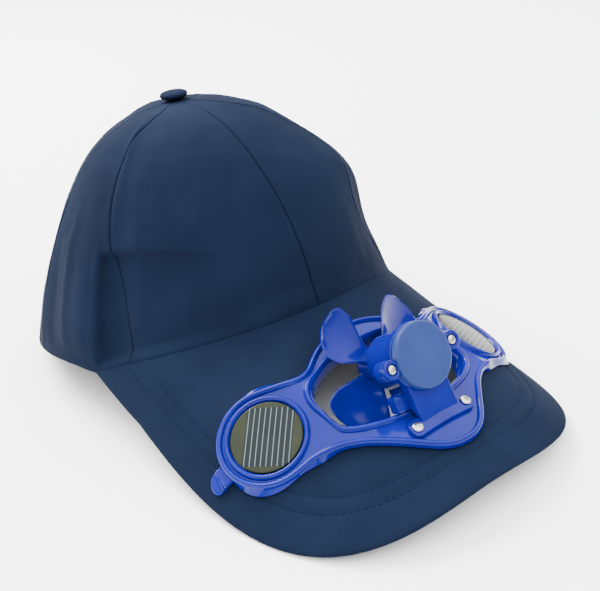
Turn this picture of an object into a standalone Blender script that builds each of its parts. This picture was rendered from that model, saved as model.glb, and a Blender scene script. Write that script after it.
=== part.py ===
# Solar fan hat: a six-panel cloth cap with a fan and two solar cells on its peak.
# Lengths are in millimetres in the hat's own frame: the peak points to -Y, +X is
# the wearer's left, Z is up and the rear rim is at z = 0. The finished pieces are
# tipped back onto the floor and moved so that the box under the hat is centred.
import math

import bmesh
import bpy
import numpy as np
from mathutils.geometry import delaunay_2d_cdt

for old in list(bpy.data.objects):
    bpy.data.objects.remove(old, do_unlink=True)

MM = 0.001
CLEARANCE = 0.3

# Crown
HEAD_HALF_LENGTH = 97.0
HEAD_HALF_WIDTH = 84.7
CROWN_HEIGHT = 117.0
CROWN_WALL = 2.0
APEX_FORWARD = 5.9
APEX_ASIDE = 1.3
CROWN_STEPS = 64
CROWN_ROWS = 12
SIDE_RIM_DIP = 2.7
REAR_FLAT_DEG = 18.0
REAR_BLEND_DEG = 14.0
RIM_HEM = 0.8
RIM_SWELL = 0.055
RIM_SWELL_AT_DEG = 52.0
RIM_SWELL_HALF_DEG = 22.0
RIM_SWELL_ROWS = 0.35
BUTTON_RADIUS = 6.7
BUTTON_HEIGHT = 3.9

# Peak
PEAK_REACH = 107.4
PEAK_SIDE_TUCK = 2.2
PEAK_SLOPE = 0.45
PEAK_ROOT_HEIGHT = 34.8
PEAK_ARCH_MARGIN = 17.3
PEAK_FRONT_RADIUS = 128.6
PEAK_SQUARENESS = 2.74
PEAK_WIDEST_BACK = 30.5
PEAK_THICKNESS = 2.6
PEAK_EDGE_ROUND = 0.9
PEAK_END_THICKNESS = 0.9
PEAK_END_TAPER = 26.0
ROOT_END_DEG = 71.0
PEAK_SPACING = 10.0
ROOT_COVER = 0.6

# Fan frame
FRAME_REAR = 16.0
REAR_BAND = 11.6
FRONT_DECK = 23.8
REAR_ARC_RADIUS = 47.8
NOTCH_ACROSS = 31.0
NOSE_ASIDE = 1.5
WAIST_GAP = 0.9
CELL_SETBACK = 17.4
LOBE_FLAT = 0.6
LOBE_BLEND = 12.0
LOBE_SINK = 0.6
TAB_REACH = 10.2
TAB_HALF_WIDTH = 4.2
TAB_BACK_DEG = 16.0
DECK_HEIGHT = 2.1
BEAD_WIDTH = 3.0
BEAD_RISE = 1.5
OPENING_HALF_WIDTH = 36.4
OPENING_HALF_DEPTH = 19.5
OPENING_FRONT_POWER = 1.9
OPENING_REAR_POWER = 2.7
COLLAR_WALL = 1.5
COLLAR_DEPTH = 5.5
FRAME_SPACING = 8.0

# Solar cells
CELL_RADIUS = 14.8
CELL_THICKNESS = 1.2
CELL_SEAT = 1.5
CELL_RIM_WIDTH = 2.6
CELL_RIM_TOP = 3.9

# Motor, bracket and cover
FAN_TILT_DEG = 26.0
COVER_AHEAD = 20.9
COVER_ABOVE = 15.6
COVER_RADIUS = 13.3
COVER_THICKNESS = 3.4
HOUSING_RADIUS = 12.0
HOUSING_LENGTH = 21.0
EAR_RADIUS = 3.9
EAR_LENGTH = 6.0
EAR_FRONT = 1.2
EAR_RECESS = 0.9
EAR_STEP = 0.15
BASE_SETBACK = 2.0
BASE_HALF_DEPTH = 3.8
BASE_THICKNESS = 1.8
BASE_SCREW_ACROSS = 12.7
BASE_CORNER = 3.0
ARM_HALF_WIDTH = 9.6
ARM_DEPTH = 6.0

# Screws
BASE_SCREW_RADIUS = 2.2
COVER_SCREW_RADIUS = 1.8
SCREW_HEAD_HEIGHT = 1.0
SCREW_SHANK_RADIUS = 1.1
SCREW_DEPTH = 0.9

# Rotor
ROTOR_RADIUS = 30.0
HUB_RADIUS = 8.0
HUB_LENGTH = 12.0
HUB_ROUND = 3.0
HUB_GAP = 0.8
SHAFT_RADIUS = 1.0
SHAFT_LENGTH = 4.0
SHAFT_RUNNING = 0.1
BLADE_COUNT = 4
BLADE_BACK = 6.2
BLADE_WIDTH = 26.0
BLADE_THICKNESS = 1.2
BLADE_CAMBER = 0.09
BLADE_PHASE_DEG = 38.0

# What follows from those sizes
PEAK_ROOT_RADIUS = HEAD_HALF_WIDTH + PEAK_ARCH_MARGIN
FRAME_DEPTH = REAR_BAND + 2 * OPENING_HALF_DEPTH + FRONT_DECK
OPENING_ALONG = FRAME_REAR + REAR_BAND + OPENING_HALF_DEPTH
POCKET_RADIUS = CELL_RADIUS + CLEARANCE
CELL_ACROSS = OPENING_HALF_WIDTH + BEAD_WIDTH + WAIST_GAP + POCKET_RADIUS + CELL_RIM_WIDTH
CELL_ALONG = FRAME_REAR + CELL_SETBACK
LOBE_RADIUS = POCKET_RADIUS + CELL_RIM_WIDTH + LOBE_FLAT + BEAD_WIDTH
BASE_ALONG = OPENING_ALONG + OPENING_HALF_DEPTH + BEAD_WIDTH + BASE_SETBACK + BASE_HALF_DEPTH
EAR_RECESS_RADIUS = COVER_SCREW_RADIUS + 2 * CLEARANCE
EAR_ACROSS = COVER_RADIUS + EAR_RECESS_RADIUS + CLEARANCE
HOUSING_FRONT = COVER_THICKNESS + CLEARANCE
HOUSING_BACK = HOUSING_FRONT + HOUSING_LENGTH
ROTOR_FRONT = HOUSING_BACK + HUB_GAP
BASE_BOTTOM = DECK_HEIGHT + CLEARANCE
BASE_TOP = BASE_BOTTOM + BASE_THICKNESS

# Crown sections from rim to top: height as a share of CROWN_HEIGHT, and how far the
# cloth stands out to the front, back, right and left as shares of the head's sizes.
CROWN_SECTIONS = (
    # height, front, back, right, left
    (0.000, 1.000, 1.000, 1.000, 1.000),
    (0.150, 0.968, 0.950, 0.957, 0.965),
    (0.320, 0.905, 0.880, 0.889, 0.905),
    (0.500, 0.811, 0.780, 0.798, 0.815),
    (0.670, 0.686, 0.655, 0.687, 0.700),
    (0.820, 0.539, 0.520, 0.552, 0.560),
    (0.920, 0.377, 0.370, 0.418, 0.418),
    (0.975, 0.221, 0.230, 0.253, 0.250),
    (1.000, 0.000, 0.000, 0.000, 0.000),
)

# Folds and dents of the cloth: where round the crown (degrees from the front, the
# wearer's left positive), how high as a share of the rows, how wide and tall, and how
# deep as a share of HEAD_HALF_WIDTH (out is positive).
CROWN_FOLDS = (
    # around, row, half_width, half_height, depth
    (-76.0, 0.18, 7.0, 0.26, 0.020),
    (-65.0, 0.16, 6.0, 0.24, -0.036),
    (-50.0, 0.27, 14.0, 0.08, -0.018),
    (-12.0, 0.10, 14.0, 0.10, -0.028),
    (-98.0, 0.30, 7.0, 0.30, 0.010),
    (54.0, 0.45, 30.0, 0.17, 0.142),
    (60.0, 0.76, 36.0, 0.13, 0.034),
    (62.0, 0.44, 8.0, 0.12, -0.016),
    (40.0, 0.14, 12.0, 0.12, 0.012),
    (126.0, 0.47, 28.0, 0.32, -0.060),
    (-126.0, 0.45, 28.0, 0.30, -0.040),
    (-130.0, 0.82, 40.0, 0.13, -0.072),
)

# Waist and nose of the frame: across as a share of CELL_ACROSS, along as a share of
# FRAME_DEPTH in front of FRAME_REAR.
NOSE_POINTS = (
    # across, along
    (0.951, 0.536),
    (0.823, 0.582),
    (0.685, 0.605),
    (0.537, 0.688),
    (0.380, 0.810),
    (0.284, 0.891),
    (0.191, 0.957),
    (0.087, 0.995),
)

# Blade sections: distance from the axis as a share of ROTOR_RADIUS, chord as a share
# of BLADE_WIDTH, and pitch in degrees, with the edge that follows the turn in front.
BLADE_SECTIONS = (
    # radius, chord, pitch
    (0.14, 0.30, 34.0),
    (0.30, 0.45, 28.0),
    (0.48, 0.74, 22.0),
    (0.66, 0.97, 19.0),
    (0.80, 1.00, 18.0),
    (0.90, 0.80, 17.0),
    (0.96, 0.52, 16.0),
    (0.99, 0.22, 16.0),
)


def smooth_table(where, knots, values):
    # A curve through the rows of a table that never swings past them.
    knots = np.asarray(knots, float)
    values = np.asarray(values, float)
    steps = np.diff(knots)
    slopes = np.diff(values) / steps
    tangents = np.zeros(len(knots))
    tangents[0] = slopes[0]
    tangents[-1] = slopes[-1]
    for i in range(1, len(knots) - 1):
        if slopes[i - 1] * slopes[i] > 0:
            wide = 2 * steps[i] + steps[i - 1]
            narrow = steps[i] + 2 * steps[i - 1]
            tangents[i] = (wide + narrow) / (wide / slopes[i - 1] + narrow / slopes[i])
    where = np.asarray(where, float)
    cell = np.clip(np.searchsorted(knots, where, side="right") - 1, 0, len(knots) - 2)
    t = (where - knots[cell]) / steps[cell]
    return (values[cell] * (1 + 2 * t) * (1 - t) ** 2
            + tangents[cell] * steps[cell] * t * (1 - t) ** 2
            + values[cell + 1] * t * t * (3 - 2 * t)
            - tangents[cell + 1] * steps[cell] * t * t * (1 - t))


def smoothstep(t):
    t = np.clip(t, 0.0, 1.0)
    return t * t * (3 - 2 * t)


# The peak's top surface. A place on it is (s, q): s is the distance across, along the
# arch, and q the distance forward of the crown's front, down the slope.
SLOPE_STRETCH = math.hypot(1.0, PEAK_SLOPE)
ROOT_END = math.radians(ROOT_END_DEG)


def arch_radius(q):
    share = np.clip(q / PEAK_REACH, -0.7, 1.0)
    return 1.0 / ((1 - share) / PEAK_ROOT_RADIUS + share / PEAK_FRONT_RADIUS)


def peak_surface(s, q):
    radius = arch_radius(q)
    turn = s / radius
    forward = q / SLOPE_STRETCH
    return np.stack([radius * np.sin(turn),
                     -HEAD_HALF_LENGTH - forward,
                     PEAK_ROOT_HEIGHT - PEAK_SLOPE * forward - radius * (1 - np.cos(turn))], -1)


def peak_normal(s, q):
    small = 0.05
    across = peak_surface(s + small, q) - peak_surface(s - small, q)
    along = peak_surface(s, q + small) - peak_surface(s, q - small)
    normal = np.cross(along, across)
    return normal / np.linalg.norm(normal, axis=-1, keepdims=True)


def on_peak(points, height):
    points = np.asarray(points, float)
    s, q = points[..., 0], points[..., 1]
    return peak_surface(s, q) + peak_normal(s, q) * height


def peak_height_at(x, y):
    forward = -y - HEAD_HALF_LENGTH
    radius = arch_radius(forward * SLOPE_STRETCH)
    drop = radius * (1 - np.sqrt(np.maximum(1 - (x / radius) ** 2, 1e-4)))
    return PEAK_ROOT_HEIGHT - PEAK_SLOPE * forward - drop


def rim_swell(turn):
    # The rim stands out where the cloth is pushed aside, over the peak's left root.
    off = np.degrees(turn) - RIM_SWELL_AT_DEG
    return RIM_SWELL * np.exp(-(off / RIM_SWELL_HALF_DEG) ** 2)


# Outlines in (s, q)
def root_line(count):
    # Just outside the crown, from the wearer's right to the left.
    turn = np.linspace(-ROOT_END, ROOT_END, count)
    x = (HEAD_HALF_WIDTH + CLEARANCE) * np.sin(turn) * (1 + rim_swell(turn))
    y = -(HEAD_HALF_LENGTH + CLEARANCE) * np.cos(turn) * (1 + rim_swell(turn))
    q = (-y - HEAD_HALF_LENGTH) * SLOPE_STRETCH
    radius = arch_radius(q)
    return np.stack([radius * np.arcsin(np.clip(x / radius, -0.99, 0.99)), q], -1)


PEAK_HALF_WIDTH = -root_line(2)[0][0] - PEAK_SIDE_TUCK


def outer_edge(root_end, count):
    # The wearer's left half, from the root's end to the middle of the front.
    side = np.linspace(0, 1, 7)[1:-1]
    rise_s = root_end[0] + (PEAK_HALF_WIDTH - root_end[0]) * side ** 2
    rise_q = root_end[1] + (-PEAK_WIDEST_BACK - root_end[1]) * side
    t = np.linspace(0, math.pi / 2, count)
    power = 2 / PEAK_SQUARENESS
    s = PEAK_HALF_WIDTH * np.cos(t) ** power
    q = -PEAK_WIDEST_BACK + (PEAK_REACH + PEAK_WIDEST_BACK) * np.sin(t) ** power
    return np.concatenate([np.stack([rise_s, rise_q], -1), np.stack([s, q], -1)])


def resample(points, count, closed):
    points = np.asarray(points, float)
    if closed:
        points = np.concatenate([points, points[:1]])
    steps = np.hypot(*np.diff(points, axis=0).T)
    run = np.concatenate([[0], np.cumsum(steps)])
    where = np.linspace(0, run[-1], count + 1 if closed else count)
    if closed:
        where = where[:-1]
    return np.stack([np.interp(where, run, points[:, i]) for i in (0, 1)], -1)


def offset_loop(loop, distance):
    # Moves a counter-clockwise loop outwards.
    ahead = np.roll(loop, -1, axis=0) - np.roll(loop, 1, axis=0)
    ahead = ahead / np.linalg.norm(ahead, axis=1, keepdims=True)
    return loop + np.stack([ahead[:, 1], -ahead[:, 0]], -1) * distance


def counter_clockwise(loop):
    x, y = loop[:, 0], loop[:, 1]
    area = np.sum(x * np.roll(y, -1) - np.roll(x, -1) * y)
    return loop if area > 0 else loop[::-1].copy()


def opening_loop(count):
    t = np.linspace(0, 2 * math.pi, count, endpoint=False)
    power = np.where(np.sin(t) > 0, 2 / OPENING_FRONT_POWER, 2 / OPENING_REAR_POWER)
    s = OPENING_HALF_WIDTH * np.sign(np.cos(t)) * np.abs(np.cos(t)) ** power
    q = OPENING_ALONG + OPENING_HALF_DEPTH * np.sign(np.sin(t)) * np.abs(np.sin(t)) ** power
    return counter_clockwise(resample(np.stack([s, q], -1), count, True))


def frame_loop(count):
    # Half the outline from the middle of the rear arc to the nose, then its mirror.
    arc_centre = FRAME_REAR + REAR_ARC_RADIUS
    turn = np.linspace(0, math.asin(NOTCH_ACROSS / REAR_ARC_RADIUS), 7)
    arc = np.stack([REAR_ARC_RADIUS * np.sin(turn), arc_centre - REAR_ARC_RADIUS * np.cos(turn)], -1)
    nose = [(across * CELL_ACROSS, FRAME_REAR + along * FRAME_DEPTH) for across, along in NOSE_POINTS]

    def touch(point, side):
        # The angle round the lobe at which a straight line from the point touches it.
        across, along = point[0] - CELL_ACROSS, point[1] - CELL_ALONG
        return math.atan2(along, across) + side * math.acos(LOBE_RADIUS / math.hypot(across, along))

    tab_turn = -math.radians(TAB_BACK_DEG)
    tab_angle = math.asin(TAB_HALF_WIDTH / LOBE_RADIUS) * 1.15
    tab_middle = LOBE_RADIUS + TAB_REACH - TAB_HALF_WIDTH
    round_lobe = [(LOBE_RADIUS * math.cos(a), LOBE_RADIUS * math.sin(a))
                  for a in np.linspace(touch(arc[-1], 1), tab_turn - tab_angle, 15)]
    for a in np.radians(np.linspace(-80, 80, 7)) + tab_turn:
        round_lobe.append((tab_middle * math.cos(tab_turn) + TAB_HALF_WIDTH * math.cos(a),
                           tab_middle * math.sin(tab_turn) + TAB_HALF_WIDTH * math.sin(a)))
    round_lobe += [(LOBE_RADIUS * math.cos(a), LOBE_RADIUS * math.sin(a))
                   for a in np.linspace(tab_turn + tab_angle, touch(nose[0], -1), 13)]
    lobe = np.array(round_lobe) + np.array([CELL_ACROSS, CELL_ALONG])
    half = np.concatenate([arc, lobe, np.array(nose)])
    tip = np.array([[0.0, FRAME_REAR + FRAME_DEPTH]])
    mirror = half[1:][::-1] * np.array([-1.0, 1.0])
    whole = np.concatenate([half, tip, mirror])
    ahead = (whole[:, 1] - OPENING_ALONG - OPENING_HALF_DEPTH * 0.8) / FRONT_DECK
    whole[:, 0] += NOSE_ASIDE * smoothstep(ahead)
    fine = resample(whole, count * 4, True)
    for _ in range(10):
        fine = (np.roll(fine, 1, axis=0) + 2 * fine + np.roll(fine, -1, axis=0)) / 4
    return counter_clockwise(resample(fine, count, True))


# Meshes
def inside(loop, points):
    x, y = points[:, 0], points[:, 1]
    found = np.zeros(len(points), bool)
    ahead = np.roll(loop, -1, axis=0)
    for (ax, ay), (bx, by) in zip(loop, ahead):
        if ay == by:
            continue
        hit = ((ay > y) != (by > y)) & (x < (bx - ax) * (y - ay) / (by - ay) + ax)
        found ^= hit
    return found


def fill(loops, spacing):
    # Triangles over the first loop less the others, with an even grid of inner points.
    outer = loops[0]
    low, high = outer.min(axis=0), outer.max(axis=0)
    rows = []
    row = 0
    q = low[1]
    while q < high[1]:
        shift = spacing / 2 if row % 2 else 0.0
        for s in np.arange(-math.ceil(high[0] / spacing) * spacing, high[0] + spacing, spacing):
            rows.append((s + shift, q))
        q += spacing * 0.87
        row += 1
    grid = np.array(rows)
    keep = inside(outer, grid)
    for hole in loops[1:]:
        keep &= ~inside(hole, grid)
    edge_points = np.concatenate([np.concatenate([loop * (1 - f) + np.roll(loop, -1, axis=0) * f
                                                  for f in (0.0, 0.25, 0.5, 0.75)]) for loop in loops])
    grid = grid[keep]
    if len(grid):
        far = np.min(np.linalg.norm(grid[:, None] - edge_points[None], axis=2), axis=1) > spacing * 0.5
        grid = grid[far]
    points = np.concatenate(list(loops) + [grid]) if len(grid) else np.concatenate(list(loops))
    edges = []
    start = 0
    for loop in loops:
        n = len(loop)
        edges += [(start + i, start + (i + 1) % n) for i in range(n)]
        start += n
    found = delaunay_2d_cdt([tuple(map(float, p)) for p in points], edges, [], 0, 1e-7)
    out_points, faces = np.array([tuple(p) for p in found[0]]), found[2]
    origin = found[3]
    index = [sources[0] for sources in origin]
    centres = np.array([out_points[list(face)].mean(axis=0) for face in faces])
    keep = inside(outer, centres)
    for hole in loops[1:]:
        keep &= ~inside(hole, centres)
    return grid, [tuple(index[i] for i in face) for face, ok in zip(faces, keep) if ok]


class Body:
    # Gathers points and faces of one closed solid.
    def __init__(self):
        self.points = []
        self.faces = []
        self.count = 0

    def add(self, points):
        points = np.asarray(points, float).reshape(-1, 3)
        first = self.count
        self.points.append(points)
        self.count += len(points)
        return list(range(first, self.count))

    def bridge(self, one, two, closed=True):
        n = len(one)
        for i in range(n if closed else n - 1):
            j = (i + 1) % n
            self.faces.append((one[i], one[j], two[j], two[i]))

    def cap(self, loops_2d, rings, spacing, place):
        grid, faces = fill(loops_2d, spacing)
        extra = self.add(place(grid)) if len(grid) else []
        index = [i for ring in rings for i in ring] + extra
        self.faces += [tuple(index[i] for i in face) for face in faces]

    def fan(self, ring, centre):
        middle = self.add([centre])[0]
        n = len(ring)
        for i in range(n):
            self.faces.append((ring[i], ring[(i + 1) % n], middle))

    def all_points(self):
        return np.concatenate(self.points)


def edge_rings(body, steps):
    # steps: (loop in 2D, placing function, height) from the top to the bottom.
    rings = [body.add(place(loop, height)) for loop, place, height in steps]
    for upper, lower in zip(rings, rings[1:]):
        body.bridge(upper, lower)
    return rings


def under_peak(points, share):
    # share: 0 on top to 1 underneath. The peak thins towards the ends of its root.
    points = np.asarray(points, float)
    end = root_line(2)[-1]
    away = np.hypot(np.abs(points[..., 0]) - end[0], points[..., 1] - end[1])
    thin = 1 - smoothstep(away / PEAK_END_TAPER)
    thickness = PEAK_THICKNESS * (1 - thin) + PEAK_END_THICKNESS * thin
    s, q = points[..., 0], points[..., 1]
    return peak_surface(s, q) - peak_normal(s, q) * (thickness * share)[..., None]


def peak_body():
    root = root_line(33)
    mirrored = np.array([-1.0, 1.0])
    left = resample(outer_edge(root[-1], 34), 30, False)
    right = resample(outer_edge(root[0] * mirrored, 34), 30, False)
    edge = np.concatenate([left[:-1], [[0.0, PEAK_REACH]], right[:-1][::-1] * mirrored])
    loop = np.concatenate([root, edge])
    on_root = np.arange(len(loop)) < len(root)
    turned = counter_clockwise(loop)
    if not np.array_equal(turned, loop):
        on_root = on_root[::-1]
    loop = turned
    inset = np.where(on_root, 0.0, -PEAK_EDGE_ROUND)
    corners = np.flatnonzero(on_root & ~(np.roll(on_root, 1) & np.roll(on_root, -1)))
    inset[corners] = 0.0
    narrow = offset_loop(loop, 1.0)
    narrow = loop + (narrow - loop) * inset[:, None]

    def upright(points, share):
        # Keeps the root's wall upright beside the crown, whatever the slope.
        target = peak_surface(points[:, 0], points[:, 1])[:, :2]
        moved = points.copy()
        for _ in range(8):
            now = under_peak(moved, share)[:, :2]
            error = (target - now) * on_root[:, None]
            radius = arch_radius(moved[:, 1])
            moved[:, 0] += error[:, 0] / np.maximum(np.cos(moved[:, 0] / radius), 0.3)
            moved[:, 1] -= error[:, 1] * SLOPE_STRETCH
        return moved

    middle_2d = upright(loop, 0.5)
    bottom_2d = upright(narrow, 1.0)
    hole = offset_loop(opening_loop(56), COLLAR_WALL + CLEARANCE)
    body = Body()
    outer = edge_rings(body, ((narrow, under_peak, 0.0), (middle_2d, under_peak, 0.5),
                              (bottom_2d, under_peak, 1.0)))
    inner = edge_rings(body, ((hole, under_peak, 0.0), (hole, under_peak, 1.0)))
    body.cap([narrow, hole], [outer[0], inner[0]], PEAK_SPACING, lambda p: under_peak(p, 0.0))
    body.cap([narrow, hole], [outer[-1], inner[-1]], PEAK_SPACING, lambda p: under_peak(p, 1.0))
    return body


PEAK = peak_body()
PEAK_POINTS = PEAK.all_points()
# The hat leans back until the peak's front corners and the rear rim touch the floor.
REST_TILT = float(np.max(np.arctan2(-PEAK_POINTS[:, 2], HEAD_HALF_LENGTH - PEAK_POINTS[:, 1])))


def rests(turn):
    # 1 where the rear rim lies flat on the floor, and 0 away from it.
    start = 180 - REAR_FLAT_DEG - REAR_BLEND_DEG
    return smoothstep((np.degrees(np.abs(turn)) - start) / REAR_BLEND_DEG)


def rim_height(turn):
    front = np.clip(turn, -ROOT_END, ROOT_END)
    swell = 1 + rim_swell(front)
    z = peak_height_at(HEAD_HALF_WIDTH * np.sin(front) * swell, -HEAD_HALF_LENGTH * np.cos(front) * swell)
    side = np.where(turn > 0, ROOT_END, -ROOT_END)
    swell = 1 + rim_swell(side)
    end = peak_height_at(HEAD_HALF_WIDTH * np.sin(side) * swell, -HEAD_HALF_LENGTH * np.cos(side) * swell)
    turn = np.abs(turn)
    share = np.clip((turn - ROOT_END) / (math.pi - ROOT_END), 0, 1)
    back = end * (1 - share) ** 2 * (1 + 2 * share) - SIDE_RIM_DIP * 16 * (share * (1 - share)) ** 2
    floor = math.tan(REST_TILT) * (-HEAD_HALF_LENGTH * np.cos(turn) - HEAD_HALF_LENGTH)
    rest = rests(turn)
    return np.where(turn <= ROOT_END, z, back * (1 - rest) + floor * rest)


def crown_surface(turn, row):
    # turn: radians from the front, row: 0 at the rim to 1 at the top.
    table = np.array(CROWN_SECTIONS)
    knots = np.linspace(0, 1, len(table))
    height, front, back, right, left = [smooth_table(row, knots, table[:, i]) for i in range(5)]
    across = np.sin(turn)
    ahead = np.cos(turn)
    rim = rim_height(turn)
    lean = height ** 1.5
    x = HEAD_HALF_WIDTH * across * (left * (1 + across) + right * (1 - across)) / 2
    y = -HEAD_HALF_LENGTH * ahead * (front * (1 + ahead) + back * (1 - ahead)) / 2
    push = np.zeros_like(x)
    for around, where, half_width, half_height, depth in CROWN_FOLDS:
        off = (np.degrees(turn) - around + 180) % 360 - 180
        push = push + depth * HEAD_HALF_WIDTH * np.exp(-(off / half_width) ** 2
                                                       - ((row - where) / half_height) ** 2)
    push = push * smoothstep(row / 0.1)
    swell = rim_swell(turn) * np.maximum(1 - row / RIM_SWELL_ROWS, 0.0) ** 2
    x = x * (1 + swell)
    y = y * (1 + swell)
    x = x + across * push - APEX_ASIDE * lean
    y = y - ahead * push - APEX_FORWARD * lean
    z = rim + (CROWN_HEIGHT - rim) * height
    return np.stack([x, y, z], -1)


def crown_body():
    turn = np.radians(np.arange(CROWN_STEPS) * 360.0 / CROWN_STEPS - 180.0)
    rows = np.linspace(0, 1, CROWN_ROWS + 1)[:-1]
    grid = [crown_surface(turn, np.full_like(turn, row)) for row in rows]
    small = 1e-3
    outside = []
    for row, points in zip(rows, grid):
        higher = crown_surface(turn, np.full_like(turn, row + small)) - points
        onward = crown_surface(turn + small, np.full_like(turn, row)) - crown_surface(
            turn - small, np.full_like(turn, row))
        normal = np.cross(onward, higher)
        normal /= np.linalg.norm(normal, axis=1, keepdims=True)
        outside.append(normal)
    # The lower edge runs down past the peak's edge in front.
    end = np.degrees(np.abs(turn)) - ROOT_END_DEG
    deep = PEAK_THICKNESS + ROOT_COVER
    shallow = PEAK_END_THICKNESS + ROOT_COVER
    lower = deep + (shallow - deep) * smoothstep((end + 20.0) / 20.0)
    lower = lower * (1 - smoothstep(end / 12.0))
    base = grid[0].copy()
    base[:, 2] -= lower
    level = outside[0] * np.array([1.0, 1.0, 0.0])
    level /= np.linalg.norm(level, axis=1, keepdims=True)
    body = Body()
    # A short upright hem keeps the lowest ring clear of the base.
    lifted = grid[0].copy()
    lifted[:, 2] += np.where(lower > 1e-3, 0.0, RIM_HEM)
    outer_rings = [lifted] + grid[1:]
    inner_base = base - level * CROWN_WALL
    inner_base[:, 2] += math.tan(REST_TILT) * (inner_base[:, 1] - base[:, 1]) * rests(turn)
    inner_rings = [lifted - level * CROWN_WALL]
    for points, normal in zip(grid[1:], outside[1:]):
        inner_rings.append(points - normal * CROWN_WALL)
    outer = [body.add(base)] + [body.add(points) for points in outer_rings]
    for lower_ring, upper_ring in zip(outer, outer[1:]):
        body.bridge(lower_ring, upper_ring)
    inner = [body.add(inner_base)] + [body.add(points) for points in inner_rings]
    for lower_ring, upper_ring in zip(inner, inner[1:]):
        body.bridge(upper_ring, lower_ring)
    body.bridge(inner[0], outer[0])
    top = np.array([-APEX_ASIDE, -APEX_FORWARD, CROWN_HEIGHT])
    body.fan(outer[-1], top)
    body.fan(inner[-1], top - np.array([0, 0, CROWN_WALL]))
    return body


# The lobes that hold the cells are flat, and the rest of the frame follows the peak.
LOBES = {}
for side in (-1, 1):
    middle = np.array([side * CELL_ACROSS, CELL_ALONG])
    centre = on_peak(middle, 0.0)
    normal = peak_normal(middle[0], middle[1])
    across = on_peak(middle + np.array([0.1, 0.0]), 0.0) - centre
    across -= normal * np.dot(across, normal)
    across /= np.linalg.norm(across)
    along = np.cross(across, normal)
    LOBES[side] = (middle, centre, across, along, normal)


def on_deck(points, height):
    points = np.asarray(points, float)
    result = on_peak(points, height)
    for middle, centre, across, along, normal in LOBES.values():
        local = points - middle
        flat = (centre + local[:, :1] * across + local[:, 1:] * along
                + normal * (height - LOBE_SINK))
        reach = np.linalg.norm(local, axis=1)
        weight = 1 - smoothstep((reach - LOBE_RADIUS) / LOBE_BLEND)
        result = result * (1 - weight[:, None]) + flat * weight[:, None]
    return result


def circle(centre, radius, count):
    t = np.linspace(0, 2 * math.pi, count, endpoint=False)
    return np.stack([centre[0] + radius * np.cos(t), centre[1] + radius * np.sin(t)], -1)


def frame_body():
    outline = frame_loop(92)
    opening = opening_loop(48)
    bead_top = DECK_HEIGHT + BEAD_RISE
    body = Body()
    outer = edge_rings(body, (
        (offset_loop(outline, -BEAD_WIDTH), on_deck, DECK_HEIGHT),
        (offset_loop(outline, -BEAD_WIDTH * 0.76), on_deck, bead_top - 0.3),
        (offset_loop(outline, -BEAD_WIDTH * 0.5), on_deck, bead_top),
        (offset_loop(outline, -BEAD_WIDTH * 0.2), on_deck, bead_top - 0.35),
        (outline, on_deck, DECK_HEIGHT - 0.4),
        (outline, on_peak, CLEARANCE)))
    inner = edge_rings(body, (
        (offset_loop(opening, BEAD_WIDTH), on_deck, DECK_HEIGHT),
        (offset_loop(opening, BEAD_WIDTH * 0.76), on_deck, bead_top - 0.3),
        (offset_loop(opening, BEAD_WIDTH * 0.5), on_deck, bead_top),
        (offset_loop(opening, BEAD_WIDTH * 0.2), on_deck, bead_top - 0.35),
        (opening, on_deck, DECK_HEIGHT - 0.4),
        (opening, on_peak, -COLLAR_DEPTH),
        (offset_loop(opening, COLLAR_WALL), on_peak, -COLLAR_DEPTH),
        (offset_loop(opening, COLLAR_WALL), on_peak, CLEARANCE)))
    top_loops = [offset_loop(outline, -BEAD_WIDTH), offset_loop(opening, BEAD_WIDTH)]
    top_rings = [outer[0], inner[0]]
    for side in (-1, 1):
        middle = LOBES[side][0]
        steps = ((POCKET_RADIUS + CELL_RIM_WIDTH, DECK_HEIGHT),
                 (POCKET_RADIUS + CELL_RIM_WIDTH * 0.8, CELL_RIM_TOP - 0.3),
                 (POCKET_RADIUS + CELL_RIM_WIDTH * 0.5, CELL_RIM_TOP),
                 (POCKET_RADIUS + CELL_RIM_WIDTH * 0.2, CELL_RIM_TOP - 0.4),
                 (POCKET_RADIUS, CELL_SEAT))
        rings = edge_rings(body, tuple((circle(middle, radius, 28), on_deck, height)
                                       for radius, height in steps))
        top_loops.append(circle(middle, steps[0][0], 28))
        top_rings.append(rings[0])
        body.fan(rings[-1], on_deck(middle[None], CELL_SEAT)[0])
    body.cap(top_loops, top_rings, FRAME_SPACING, lambda p: on_deck(p, DECK_HEIGHT))
    body.cap([outline, offset_loop(opening, COLLAR_WALL)], [outer[-1], inner[-1]], FRAME_SPACING,
             lambda p: on_peak(p, CLEARANCE))
    return body


# The motor's axis points forward and up from the middle of the opening.
TILT = math.radians(FAN_TILT_DEG)
AXIS_FRONT = np.array([0.0, -math.cos(TILT), math.sin(TILT)])
AXIS_ACROSS = np.array([1.0, 0.0, 0.0])
AXIS_UP = np.array([0.0, math.sin(TILT), math.cos(TILT)])
COVER_CENTRE = peak_surface(0.0, OPENING_ALONG) + np.array([0.0, -COVER_AHEAD, COVER_ABOVE])


def on_axis(across, up, back):
    # back is the distance behind the cover's face.
    across, up, back = np.broadcast_arrays(*[np.asarray(v, float) for v in (across, up, back)])
    return (COVER_CENTRE + across[..., None] * AXIS_ACROSS + up[..., None] * AXIS_UP
            - back[..., None] * AXIS_FRONT)


def turned(profile, count, place):
    # profile: (radius, back) pairs; a radius of 0 is a single point.
    body = Body()
    t = np.linspace(0, 2 * math.pi, count, endpoint=False)
    rings = []
    for radius, back in profile:
        if radius == 0:
            rings.append((None, place(0.0, 0.0, back)))
        else:
            rings.append((body.add(place(radius * np.cos(t), radius * np.sin(t), back)), None))
    for (one, one_point), (two, two_point) in zip(rings, rings[1:]):
        if one is None:
            body.fan(two, one_point)
        elif two is None:
            body.fan(one, two_point)
        else:
            body.bridge(one, two)
    return body


def beside_axis(across):
    return lambda x, y, back: on_axis(np.asarray(x) + across, y, back)


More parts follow.
